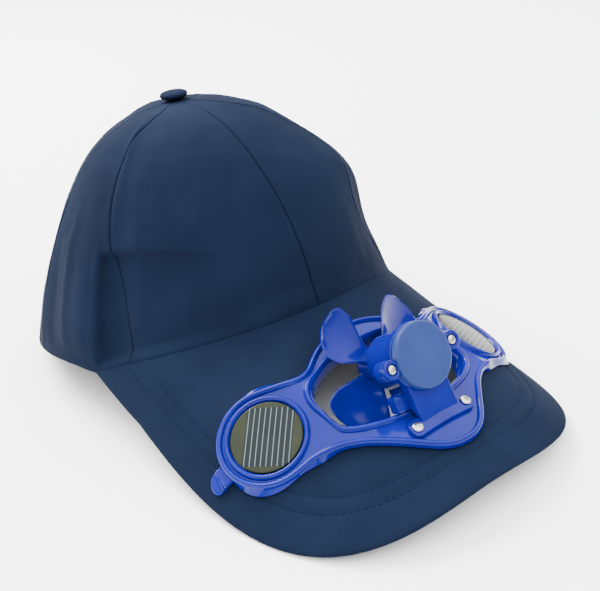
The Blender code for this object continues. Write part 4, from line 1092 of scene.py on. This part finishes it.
def fine_crown():
    row = np.linspace(0, 1, FINE_ROWS + 1)[:-1]
    turn, distance, across, width = crown_columns(row)
    rows = row[:, None] + 0 * turn
    points = crown_surface(turn, rows)
    small = 1e-3
    higher = crown_surface(turn, rows + small) - points
    onward = crown_surface(turn + small, rows) - crown_surface(turn - small, rows)
    normal = np.cross(onward, higher)
    normal /= np.linalg.norm(normal, axis=2, keepdims=True)
    waves = cloth_waves(points.reshape(-1, 3), 3.7).reshape(turn.shape) * smoothstep(rows / 0.06)
    folds = fold_detail(turn, rows) + waves
    grid = points + normal * (folds + seam_detail(distance, width))[..., None]
    inner_grid = points + normal * (folds - CROWN_WALL)[..., None]
    climb = np.concatenate([[0], np.cumsum(np.linalg.norm(np.diff(points[:, 20], axis=0), axis=1))])
    cloth = np.stack([across, climb[:, None] + 0 * across, 0 * across], -1)
    # The lower edge runs down past the peak's edge in front.
    end = np.degrees(np.abs(turn[0])) - ROOT_END_DEG
    deep = PEAK_THICKNESS + ROOT_COVER
    shallow = PEAK_END_THICKNESS + ROOT_COVER
    lower = deep + (shallow - deep) * smoothstep((end + 20.0) / 20.0)
    lower = lower * (1 - smoothstep(end / 12.0))
    base = points[0].copy()
    base[:, 2] -= lower
    level = normal[0] * np.array([1.0, 1.0, 0.0])
    level /= np.linalg.norm(level, axis=1, keepdims=True)
    lean = math.tan(REST_TILT) * rests(turn[0])

    def rim(inset, rise):
        ring = base - level * inset
        ring[:, 2] += rise + lean * (ring[:, 1] - base[:, 1])
        return ring

    hem = np.where(lower > 1e-3, 0.0, RIM_HEM)[:, None] * np.array([0.0, 0.0, 1.0])
    outer = [rim(0.45, 0.0), rim(0.12, 0.12), rim(0.0, 0.45), points[0] + hem] + list(grid[1:])
    inner = [rim(CROWN_WALL - 0.45, 0.0), rim(CROWN_WALL - 0.12, 0.12), rim(CROWN_WALL, 0.45),
             points[0] + hem - level * CROWN_WALL] + list(inner_grid[1:])
    low_cloth = [cloth[0] - np.array([0.0, drop, 0.0]) for drop in (2.4, 1.8, 1.2)]
    cloths = low_cloth + list(cloth)
    body = Body()
    outer = [body.add(ring, c) for ring, c in zip(outer, cloths)]
    inner = [body.add(ring, c) for ring, c in zip(inner, cloths)]
    for rings in (outer, inner):
        for lower_ring, upper_ring in zip(rings, rings[1:]):
            body.bridge(lower_ring, upper_ring)
    body.bridge(inner[0], outer[0])
    top = np.array([-APEX_ASIDE, -APEX_FORWARD, CROWN_HEIGHT])
    body.fan(outer[-1], top)
    body.fan(inner[-1], top - np.array([0, 0, CROWN_WALL]))
    return body


show_body("crown_cloth", fine_crown(), navy, sharp_deg=70.0, slot="navy_cloth",
          stands_for=("crown",))

# Peak: cloth over a stiff board, with two rows of stitches that follow its edge.
PEAK_EDGE_STEPS = 6
STITCH_INSETS = (14.2, 20.3)
STITCH_DIP = 0.42
STITCH_DIP_HALF = 0.75
STITCH_PITCH = 3.0
STITCH_LENGTH = 2.25
STITCH_RADIUS = 0.24
STITCH_STEPS = (-1.5, -0.7, 0.0, 0.7, 1.5)


def peak_edge():
    # The peak's free edge, from the root's left end round the front to its right end.
    root = root_line(33)
    mirrored = np.array([-1.0, 1.0])
    left = resample(outer_edge(root[-1], 200), 160, False)
    right = resample(outer_edge(root[0] * mirrored, 200), 160, False)
    return np.concatenate([left[:-1], [[0.0, PEAK_REACH]], right[:-1][::-1] * mirrored])


def inset_line(distance):
    # A line at an even distance inside the free edge, ending at the crown.
    edge = peak_edge()
    ahead = np.gradient(edge, axis=0)
    ahead /= np.linalg.norm(ahead, axis=1, keepdims=True)
    side = np.stack([-ahead[:, 1], ahead[:, 0]], -1)
    if np.dot(side[len(side) // 2], np.array([0.0, -1.0])) < 0:
        side = -side
    line = edge + side * distance
    away = np.min(np.linalg.norm(line[:, None] - edge[None], axis=2), axis=1)
    line = line[away > distance - 0.15]
    return line[clear_of_root(line, 2.5)]


def clear_of_root(points, margin):
    x, y = peak_surface(points[:, 0], points[:, 1])[:, :2].T
    turn = np.arctan2(x / HEAD_HALF_WIDTH, -y / HEAD_HALF_LENGTH)
    reach = np.hypot(x / HEAD_HALF_WIDTH, y / HEAD_HALF_LENGTH) / (1 + rim_swell(turn))
    return (reach > 1 + margin / HEAD_HALF_WIDTH) & (np.abs(turn) < math.pi / 2)


STITCH_LINES = []
for inset in STITCH_INSETS:
    line = inset_line(inset)
    run = np.linalg.norm(np.diff(line, axis=0), axis=1).sum()
    STITCH_LINES.append(resample(line, int(run / 0.6), False))


def peak_detail(points):
    # The dip along each row of stitches and the slow waves of the board and cloth.
    height = np.zeros(len(points))
    for line in STITCH_LINES:
        for start in range(0, len(points), 1500):
            part = points[start:start + 1500]
            away = np.min(np.linalg.norm(part[:, None] - line[None], axis=2), axis=1)
            height[start:start + 1500] -= STITCH_DIP * np.exp(-(away / STITCH_DIP_HALF) ** 2)
    lifted = np.concatenate([points, np.zeros((len(points), 1))], 1)
    calm = np.minimum(1, np.abs(points[:, 1] - PEAK_REACH) / 20)
    return height + cloth_waves(lifted, 9.1) * 0.45 * calm


def peak_top(points, share=0.0):
    points = np.asarray(points, float)
    normal = peak_normal(points[:, 0], points[:, 1])
    return under_peak(points, share) + normal * peak_detail(points)[:, None]


def fine_peak():
    root = root_line(97)
    edge = peak_edge()
    loop = np.concatenate([root, edge])
    on_root = np.arange(len(loop)) < len(root)
    wound = counter_clockwise(loop)
    if not np.array_equal(wound, loop):
        on_root = on_root[::-1]
    loop = wound
    inset = np.where(on_root, 0.0, 1.0)
    corners = np.flatnonzero(on_root & ~(np.roll(on_root, 1) & np.roll(on_root, -1)))
    inset[corners] = 0.0
    outward = offset_loop(loop, 1.0) - loop
    hole = offset_loop(opening_loop(150), COLLAR_WALL + CLEARANCE)
    rings = []
    for turn in np.linspace(0, math.pi, PEAK_EDGE_STEPS + 1):
        back = PEAK_EDGE_ROUND * (1 - math.sin(turn))
        share = (1 - math.cos(turn)) / 2
        rings.append((loop - outward * (inset * back)[:, None], share))
    body = Body()
    made = [body.add(under_peak(ring, share), flat(ring)) for ring, share in rings]
    for one, two in zip(made, made[1:]):
        body.bridge(one, two)
    inner = [body.add(under_peak(hole, share), flat(hole)) for share in (0.0, 1.0)]
    body.bridge(inner[0], inner[1])
    beside = []
    for line in STITCH_LINES:
        ahead = np.gradient(line, axis=0)
        ahead /= np.linalg.norm(ahead, axis=1, keepdims=True)
        side = np.stack([-ahead[:, 1], ahead[:, 0]], -1)
        for number, step in enumerate(STITCH_STEPS):
            beside.append((line + side * step)[number % 2::3])
    body.cap([rings[0][0], hole], [made[0], inner[0]], 3.2, peak_top, np.concatenate(beside))
    body.cap([rings[-1][0], hole], [made[-1], inner[1]], 6.0, lambda p: under_peak(p, 1.0))
    return body


def capsule(body, middle, ahead, side, up, length, radius, cloth):
    # One stitch: a short round thread that dives into the cloth at both ends.
    rings = []
    for share in (-1.0, -0.72, -0.3, 0.3, 0.72, 1.0):
        fat = radius * math.sqrt(max(1 - share ** 4, 0.04))
        sink = radius * 1.1 * share ** 4
        centre = middle + ahead * (share * length / 2) - up * sink
        turn = np.linspace(0, 2 * math.pi, 7)[:-1, None]
        rings.append(body.add(centre + fat * (np.cos(turn) * side + np.sin(turn) * up),
                              np.tile(cloth + np.array([share * length / 2, 0, 0]), (6, 1))))
    for one, two in zip(rings, rings[1:]):
        body.bridge(one, two)
    body.faces.append(tuple(rings[0]))
    body.faces.append(tuple(rings[-1]))


def peak_stitches():
    body = Body()
    for line in STITCH_LINES:
        run = np.concatenate([[0], np.cumsum(np.linalg.norm(np.diff(line, axis=0), axis=1))])
        count = int(run[-1] / STITCH_PITCH)
        where = (np.arange(count) + 0.5) * run[-1] / count
        flat_points = np.stack([np.interp(where, run, line[:, i]) for i in (0, 1)], -1)
        flat_next = np.stack([np.interp(where + 0.5, run, line[:, i]) for i in (0, 1)], -1)
        places = peak_top(flat_points)
        aheads = under_peak(flat_next, 0.0) - under_peak(flat_points, 0.0)
        ups = peak_normal(flat_points[:, 0], flat_points[:, 1])
        for place, ahead, up, along in zip(places, aheads, ups, where):
            ahead = ahead / max(np.linalg.norm(ahead), 1e-9)
            side = np.cross(up, ahead)
            capsule(body, place + up * STITCH_RADIUS * 0.45, ahead, side, up,
                    STITCH_LENGTH, STITCH_RADIUS, np.array([along, 0.0, 0.0]))
    return body


show_body("peak_cloth", fine_peak(), navy, sharp_deg=60.0, slot="navy_cloth", stands_for=("peak",))
show_body("peak_stitching", peak_stitches(), thread, sharp_deg=80.0, slot="navy_cloth")

# Button: a cloth-covered dome on the crown's top.
BUTTON_TUCK_COUNT = 10
BUTTON_TUCK = 0.10


def fine_button():
    def place(x, y, height):
        x, y, height = np.broadcast_arrays(*[np.asarray(v, float) for v in (x, y, height)])
        turn = np.arctan2(y, x)
        low = smoothstep((BUTTON_HEIGHT * 0.7 - height) / (BUTTON_HEIGHT * 0.6))
        swell = 1 - BUTTON_TUCK * low * (0.5 + 0.5 * np.cos(turn * BUTTON_TUCK_COUNT)) * 0.5
        return np.stack([x * swell - APEX_ASIDE, y * swell - APEX_FORWARD, CROWN_HEIGHT + height], -1)
    profile = [(0, CLEARANCE), (BUTTON_RADIUS * 0.60, CLEARANCE), (BUTTON_RADIUS * 0.80, CLEARANCE * 1.5)]
    for a in np.linspace(-40, 84, 18):
        profile.append((BUTTON_RADIUS * math.cos(math.radians(a)) ** 0.7,
                        CLEARANCE + BUTTON_HEIGHT * (0.46 + 0.54 * math.sin(math.radians(a)))))
    profile.append((0, CLEARANCE + BUTTON_HEIGHT))
    return turned(profile, 60, place)


show_body("button_cloth", fine_button(), navy, sharp_deg=70.0, slot="navy_cloth",
          stands_for=("crown_button",))

# Fan frame: a moulded plate with a round bead along its edges, a rimmed pocket for each
# cell, a collar down through the peak, and a thin tab beyond each pocket.
OUTLINE_POINTS = 320
OPENING_POINTS = 180
RING_POINTS = 96
BEAD_STEPS = 9
DECK_SPACING = 3.4
TAB_TOP = 1.5
TAB_RIDGE = 0.55
TAB_RIDGE_AT = 4.4
TAB_RIDGE_HALF = 0.7
TAB_ROOT = 2.5


def bead(loop, outward, low, high, wall_height):
    # Rings over a half-round bead, from the deck to the wall beside the loop.
    rings = []
    for share in np.linspace(0, 1, BEAD_STEPS + 1):
        base = low + (wall_height - low) * share
        rise = (high - base) * math.sin(math.pi * share) ** 0.75
        rings.append((offset_loop(loop, outward * BEAD_WIDTH * (1 - share)), on_deck, base + rise))
    return rings


def fine_frame():
    outline = frame_loop(OUTLINE_POINTS)
    opening = opening_loop(OPENING_POINTS)
    top = DECK_HEIGHT + BEAD_RISE
    body = Body()
    outer = edge_rings(body, bead(outline, -1, DECK_HEIGHT, top, DECK_HEIGHT - 0.4)
                       + [(outline, on_peak, CLEARANCE + 0.5),
                          (offset_loop(outline, -0.4), on_peak, CLEARANCE)])
    inner = edge_rings(body, bead(opening, 1, DECK_HEIGHT, top, DECK_HEIGHT - 0.4) + [
        (opening, on_peak, -COLLAR_DEPTH + 0.4), (offset_loop(opening, 0.4), on_peak, -COLLAR_DEPTH),
        (offset_loop(opening, COLLAR_WALL), on_peak, -COLLAR_DEPTH),
        (offset_loop(opening, COLLAR_WALL), on_peak, CLEARANCE)])
    top_loops = [offset_loop(outline, -BEAD_WIDTH), offset_loop(opening, BEAD_WIDTH)]
    top_rings = [outer[0], inner[0]]
    for side in (-1, 1):
        middle = LOBES[side][0]
        steps = []
        for share in np.linspace(0, 1, BEAD_STEPS + 1):
            rise = (CELL_RIM_TOP - DECK_HEIGHT) * math.sin(math.pi * share) ** 0.75
            steps.append((POCKET_RADIUS + CELL_RIM_WIDTH * (1 - share), DECK_HEIGHT + rise))
        steps.append((POCKET_RADIUS, CELL_SEAT))
        rings = edge_rings(body, [(circle(middle, radius, RING_POINTS), on_deck, height)
                                  for radius, height in steps])
        top_loops.append(circle(middle, steps[0][0], RING_POINTS))
        top_rings.append(rings[0])
        body.fan(rings[-1], on_deck(middle[None], CELL_SEAT)[0])
    body.cap(top_loops, top_rings, DECK_SPACING, lambda p: on_deck(p, DECK_HEIGHT))
    body.cap([offset_loop(outline, -0.4), offset_loop(opening, COLLAR_WALL)], [outer[-1], inner[-1]],
             DECK_SPACING * 1.5, lambda p: on_peak(p, CLEARANCE))
    return body


def tab_body(side):
    middle = LOBES[side][0]
    back = math.radians(TAB_BACK_DEG)
    ahead = np.array([side * math.cos(back), -math.sin(back)])
    across = np.array([-ahead[1], ahead[0]])
    end = TAB_REACH - TAB_HALF_WIDTH

    def tongue(inset):
        half = TAB_HALF_WIDTH - inset
        outline = [(-TAB_ROOT, -half), (-TAB_ROOT, half)]
        outline += [(end + half * math.cos(a), half * math.sin(a))
                    for a in np.radians(np.linspace(90, -90, 25))]
        outline = np.array(outline)
        places = middle + (LOBE_RADIUS + outline[:, :1]) * ahead + outline[:, 1:] * across
        return counter_clockwise(resample(places, 90, True))

    def top(points, height):
        points = np.asarray(points, float)
        out = (points - middle) @ ahead - LOBE_RADIUS
        ridge = TAB_RIDGE * np.exp(-((out - TAB_RIDGE_AT) / TAB_RIDGE_HALF) ** 2)
        slope = 0.5 * smoothstep((end + 2.0 - out) / (end + 2.0))
        normal = peak_normal(points[:, 0], points[:, 1])
        return on_peak(points, 0.0) + normal * (height + ridge + slope)[:, None]

    body = Body()
    rings = edge_rings(body, [(tongue(0.7), top, TAB_TOP), (tongue(0.25), top, TAB_TOP - 0.12),
                              (tongue(0.0), top, TAB_TOP - 0.5), (tongue(0.0), on_peak, CLEARANCE)])
    body.cap([tongue(0.7)], [rings[0]], 0.9, lambda p: top(p, TAB_TOP))
    body.cap([tongue(0.0)], [rings[-1]], 3.0, lambda p: on_peak(p, CLEARANCE))
    return body


show_body("frame_plate", fine_frame(), blue, slot="blue_plastic", stands_for=("fan_frame",))
for side, word in ((-1, "right"), (1, "left")):
    show_body("frame_tab_" + word, tab_body(side), blue, sharp_deg=50.0, slot="blue_plastic")

# Solar cells: clear-topped discs. Each carries its own plane coordinates, turned so that
# the contact lines run as they lie in the photo.
CELL_LINE_TURN_DEG = {-1: -34.7, 1: -34.7}
CELL_DOME = 0.25


def fine_cell(side):
    bottom = CELL_SEAT + CLEARANCE
    top = bottom + CELL_THICKNESS
    profile = [(0, bottom), (CELL_RADIUS, bottom), (CELL_RADIUS, top - 0.4)]
    profile += [(CELL_RADIUS - 0.4 * (1 - math.cos(a)), top - 0.4 + 0.4 * math.sin(a))
                for a in np.linspace(0.3, math.pi / 2, 4)]
    profile += [(CELL_RADIUS * share, top + CELL_DOME * (1 - share ** 2))
                for share in (0.9, 0.75, 0.55, 0.3)]
    profile.append((0, top + CELL_DOME))
    body = turned(profile, RING_POINTS, lobe_place(side))
    points = body.all_points()
    centre, across, along = LOBES[side][1:4]
    line_turn = math.radians(CELL_LINE_TURN_DEG[side])
    x, y = (points - centre) @ across, (points - centre) @ along
    body.cloth = [np.stack([-x * math.sin(line_turn) + y * math.cos(line_turn),
                            x * math.cos(line_turn) + y * math.sin(line_turn), 0 * x], -1)]
    return body


for side, word in ((-1, "right"), (1, "left")):
    show_body("cell_face_" + word, fine_cell(side), cell_face, slot="cell",
              stands_for=("solar_cell_" + word,))

# Motor bracket: a base plate, an arm up from it, and the motor's round housing with two
# ears, and a small block beside the arm.
BASE_LOOP_POINTS = 96
ARM_CORNER = 0.14
ARM_STEPS = 9
BLOCK_ACROSS = (-15.4, -8.8)
BLOCK_UP = (-17.6, -11.0)
BLOCK_BACK = (8.5, 14.0)
HOUSING_ROUND = 1.8
HOUSING_STEP = 0.6
EAR_ROUND = 1.5


def rounded_square(corner, per_corner):
    # A loop round the square from -1 to 1, with round corners.
    loop = []
    for cx, cy, start in ((1, 1, 0), (-1, 1, 90), (-1, -1, 180), (1, -1, 270)):
        for a in np.radians(np.linspace(start, start + 90, per_corner)):
            loop.append((cx * (1 - corner) + corner * math.cos(a), cy * (1 - corner) + corner * math.sin(a)))
    return np.array(loop)


def block(place, steps, corner):
    # place(u, v, w) with u, v from -1 to 1 across and w from 0 to 1 up the block.
    body = Body()
    loop = rounded_square(corner, 6)
    rings = []
    for w in np.linspace(0, 1, steps):
        shrink = 1 - 0.10 * (1 - math.sin(math.pi / 2 * min(1.0, min(w, 1 - w) / 0.12)))
        rings.append(body.add(place(loop[:, 0] * shrink, loop[:, 1] * shrink, w)))
    for one, two in zip(rings, rings[1:]):
        body.bridge(one, two)
    body.faces.append(tuple(rings[0]))
    body.faces.append(tuple(rings[-1]))
    return body


def fine_base():
    half = BASE_SCREW_ACROSS + BASE_CORNER
    corner = min(BASE_CORNER, BASE_HALF_DEPTH) * 0.98
    places = []
    for cx, cq, start in ((1, 1, 0), (-1, 1, 90), (-1, -1, 180), (1, -1, 270)):
        for a in np.radians(np.linspace(start, start + 90, 12)):
            places.append((cx * (half - corner) + corner * math.cos(a),
                           BASE_ALONG + cq * (BASE_HALF_DEPTH - corner) + corner * math.sin(a)))
    loop = counter_clockwise(resample(np.array(places), BASE_LOOP_POINTS, True))
    body = Body()
    rings = edge_rings(body, [(offset_loop(loop, -0.6), on_peak, BASE_TOP),
                              (offset_loop(loop, -0.2), on_peak, BASE_TOP - 0.1),
                              (loop, on_peak, BASE_TOP - 0.45), (loop, on_peak, BASE_BOTTOM)])
    body.cap([offset_loop(loop, -0.6)], [rings[0]], 1.8, lambda p: on_peak(p, BASE_TOP))
    body.cap([loop], [rings[-1]], 4.0, lambda p: on_peak(p, BASE_BOTTOM))
    return body


def fine_arm():
    foot = (BASE_BOTTOM + BASE_TOP) / 2

    def place(u, v, w):
        s = u * ARM_HALF_WIDTH
        share = (v + 1) / 2
        low = on_peak(np.stack([s, BASE_ALONG + 0.8 - share * ARM_DEPTH], -1), foot)
        high = on_axis(s, -HOUSING_RADIUS * 0.45, HOUSING_FRONT + 1.0 + share * ARM_DEPTH)
        return low * (1 - w) + high * w
    return block(place, ARM_STEPS, ARM_CORNER)


def fine_housing():
    flange = HOUSING_RADIUS + 1.6
    profile = [(0, HOUSING_FRONT), (flange - 0.4, HOUSING_FRONT), (flange, HOUSING_FRONT + 0.4),
               (flange, HOUSING_FRONT + 1.8), (flange - 0.3, HOUSING_FRONT + 2.3),
               (HOUSING_RADIUS + 0.2, HOUSING_FRONT + 3.2), (HOUSING_RADIUS, HOUSING_FRONT + 3.8)]
    for a in np.linspace(0, math.pi / 2, 7):
        profile.append((HOUSING_RADIUS - HOUSING_STEP - HOUSING_ROUND * (1 - math.cos(a)),
                        HOUSING_BACK - HOUSING_ROUND * (1 - math.sin(a))))
    profile.append((0, HOUSING_BACK))
    return turned(profile, RING_POINTS, on_axis)


def housing_ear(side):
    end = HOUSING_FRONT + EAR_LENGTH
    profile = [(0, HOUSING_FRONT + EAR_STEP), (EAR_RADIUS - 0.3, HOUSING_FRONT + EAR_STEP),
               (EAR_RADIUS, HOUSING_FRONT + EAR_STEP + 0.3), (EAR_RADIUS, end - EAR_ROUND)]
    profile += [(EAR_RADIUS - EAR_ROUND * (1 - math.cos(a)), end - EAR_ROUND * (1 - math.sin(a)))
                for a in (0.5, 1.0, 1.5)]
    profile.append((0, end))
    return turned(profile, 48, beside_axis(side * EAR_ACROSS))


def side_block():
    def place(u, v, w):
        across = np.mean(BLOCK_ACROSS) + u * np.ptp(BLOCK_ACROSS) / 2
        back = np.mean(BLOCK_BACK) + v * np.ptp(BLOCK_BACK) / 2
        return on_axis(across, BLOCK_UP[0] + w * np.ptp(BLOCK_UP), back)
    return block(place, ARM_STEPS, 0.25)


bracket = joined(fine_base(), fine_arm(), fine_housing(), housing_ear(-1), housing_ear(1), side_block())
show_body("bracket_body", bracket, blue, slot="blue_plastic", stands_for=("motor_bracket",))

# Motor cover: a bare satin disc with a rounded edge, and a recessed ear for each screw.
COVER_EDGE = 0.9
COVER_BULGE = 0.12


def fine_cover():
    profile = [(0, -COVER_BULGE)]
    profile += [((COVER_RADIUS - COVER_EDGE) * share, -COVER_BULGE * (1 - share ** 2))
                for share in (0.3, 0.6, 0.85)]
    profile += [(COVER_RADIUS - COVER_EDGE * (1 - math.sin(a)), COVER_EDGE * (1 - math.cos(a)))
                for a in np.linspace(0, math.pi / 2, 7)]
    profile += [(COVER_RADIUS, COVER_THICKNESS - 0.3), (COVER_RADIUS - 0.3, COVER_THICKNESS),
                (0, COVER_THICKNESS)]
    return turned(profile, 128, on_axis)


def cover_ear(side):
    seat = EAR_FRONT + EAR_RECESS
    inner = EAR_RECESS_RADIUS
    profile = [(0, seat), (inner, seat), (inner, EAR_FRONT + 0.35)]
    profile += [((inner + EAR_RADIUS) / 2 - (EAR_RADIUS - inner) / 2 * math.cos(a),
                 EAR_FRONT + 0.35 * (1 - math.sin(a))) for a in np.linspace(0.3, math.pi - 0.3, 7)]
    profile += [(EAR_RADIUS, EAR_FRONT + 0.35), (EAR_RADIUS, COVER_THICKNESS - EAR_STEP),
                (0, COVER_THICKNESS - EAR_STEP)]
    return turned(profile, 48, beside_axis(side * EAR_ACROSS))


show_body("cover_face", fine_cover(), cover_blue, slot="cover_plastic", stands_for=("motor_cover",))
for side, word in ((-1, "right"), (1, "left")):
    show_body("cover_ear_" + word, cover_ear(side), blue, slot="blue_plastic")

# Screws: domed heads with a cross recess.
CROSS_ARM = 0.62
CROSS_HALF = 0.15
CROSS_DEEP = 0.6


def fine_screw(name, place, seat, up, radius, turn_deg):
    head = seat + up * CLEARANCE
    end = seat - up * SCREW_DEPTH
    profile = [(0, end), (SCREW_SHANK_RADIUS, end), (SCREW_SHANK_RADIUS, head), (radius, head)]
    profile += [(radius * math.cos(a), head + up * SCREW_HEAD_HEIGHT * (0.30 + 0.70 * math.sin(a)))
                for a in np.linspace(0.05, 1.45, 10)]
    profile.append((0, head + up * SCREW_HEAD_HEIGHT))
    shape = turned(profile, 48, place)
    work = [bpy.data.objects.new(name + "_shape", new_mesh(name, shape.all_points(), shape.faces))]
    top = head + up * (SCREW_HEAD_HEIGHT + 0.5)
    for extra in (0.0, 90.0):
        a = math.radians(turn_deg + extra)

        def bar(u, v, w):
            x, y = u * radius * CROSS_ARM, v * radius * CROSS_HALF
            height = top + w * (head + up * SCREW_HEAD_HEIGHT * (1 - CROSS_DEEP) - top)
            return place(x * math.cos(a) - y * math.sin(a), x * math.sin(a) + y * math.cos(a), height)
        tool = Body()
        corners = np.array([(-1, -1), (1, -1), (1, 1), (-1, 1)], float)
        rings = [tool.add(bar(corners[:, 0] * size, corners[:, 1], w)) for w, size in ((0, 1.0), (1, 0.7))]
        tool.bridge(rings[0], rings[1])
        tool.faces.append(tuple(rings[0]))
        tool.faces.append(tuple(rings[1]))
        work.append(bpy.data.objects.new(name + "_bar", new_mesh(name, tool.all_points(), tool.faces)))
    for made in work:
        scene.collection.objects.link(made)
    for tool in work[1:]:
        step = work[0].modifiers.new("cross", "BOOLEAN")
        step.operation = "DIFFERENCE"
        step.solver = "EXACT"
        step.object = tool
    bpy.context.view_layer.update()
    mesh = bpy.data.meshes.new_from_object(work[0].evaluated_get(bpy.context.evaluated_depsgraph_get()))
    for made in work:
        bpy.data.objects.remove(made, do_unlink=True)
    points = np.empty(len(mesh.vertices) * 3)
    mesh.vertices.foreach_get("co", points)
    mesh.vertices.foreach_set("co", in_world(points.reshape(-1, 3)).ravel())
    show(name + "_head", mesh, steel, sharp_deg=30.0, slot="screw_steel", stands_for=(name,))


SCREW_TURNS_DEG = {"cover_screw_right": 22.0, "cover_screw_left": 61.0,
                   "base_screw_right": 38.0, "base_screw_left": 12.0}
for side, word in ((-1, "right"), (1, "left")):
    fine_screw("cover_screw_" + word, beside_axis(side * EAR_ACROSS), EAR_FRONT + EAR_RECESS, -1,
               COVER_SCREW_RADIUS, SCREW_TURNS_DEG["cover_screw_" + word])
    fine_screw("base_screw_" + word, base_place(side), BASE_TOP, 1, BASE_SCREW_RADIUS,
               SCREW_TURNS_DEG["base_screw_" + word])

# Rotor: a round-nosed hub on its shaft, and four cambered blades with round tips.
BLADE_STATIONS = 30
BLADE_SHARES = 25
TIP_FROM = 0.80


def fine_blade(turn_deg):
    turn = math.radians(turn_deg)
    middle = ROTOR_FRONT + BLADE_BACK
    table = np.array(BLADE_SECTIONS)
    share = np.linspace(-1, 1, BLADE_SHARES)
    spread = np.sin(np.linspace(0, math.pi / 2, BLADE_STATIONS))
    body = Body()
    rings = []
    for radius_share in table[0, 0] + (0.996 - table[0, 0]) * spread:
        chord_share = smooth_table(radius_share, table[:, 0], table[:, 1])
        if radius_share > TIP_FROM:
            chord_share = math.sqrt(1 - ((radius_share - TIP_FROM) / (1 - TIP_FROM)) ** 2)
        pitch = -math.radians(float(smooth_table(min(radius_share, 0.99), table[:, 0], table[:, 2])))
        radius = radius_share * ROTOR_RADIUS
        chord = float(chord_share) * BLADE_WIDTH
        thin = BLADE_THICKNESS / 2 * (1 - share ** 6) ** 0.5 + 0.03
        lift = BLADE_CAMBER * chord * (0.4 - share ** 2)
        section = np.concatenate([np.stack([share * chord / 2, lift + thin], -1),
                                  np.stack([share * chord / 2, lift - thin], -1)[::-1]])
        around = section[:, 0] * math.cos(pitch) - section[:, 1] * math.sin(pitch)
        back = section[:, 0] * math.sin(pitch) + section[:, 1] * math.cos(pitch)
        rings.append(body.add(on_axis(radius * math.cos(turn) - around * math.sin(turn),
                                      radius * math.sin(turn) + around * math.cos(turn), middle + back)))
    for one, two in zip(rings, rings[1:]):
        body.bridge(one, two)
    body.faces.append(tuple(rings[0]))
    body.faces.append(tuple(rings[-1]))
    return body


def fine_hub():
    back = ROTOR_FRONT + HUB_LENGTH
    profile = [(0, ROTOR_FRONT - SHAFT_LENGTH), (SHAFT_RADIUS, ROTOR_FRONT - SHAFT_LENGTH),
               (SHAFT_RADIUS, ROTOR_FRONT), (HUB_RADIUS - 0.5, ROTOR_FRONT), (HUB_RADIUS, ROTOR_FRONT + 0.5)]
    profile += [(HUB_RADIUS - HUB_ROUND * (1 - math.cos(a)), back - HUB_ROUND * (1 - math.sin(a)))
                for a in np.linspace(0, math.pi / 2, 9)]
    profile.append((0, back))
    return turned(profile, 72, on_axis)


blades = [fine_blade(BLADE_PHASE_DEG + number * 360.0 / BLADE_COUNT) for number in range(BLADE_COUNT)]
show_body("rotor_body", joined(fine_hub(), *blades), blue, rides="fan", slot="blue_plastic",
          stands_for=("fan_rotor",))
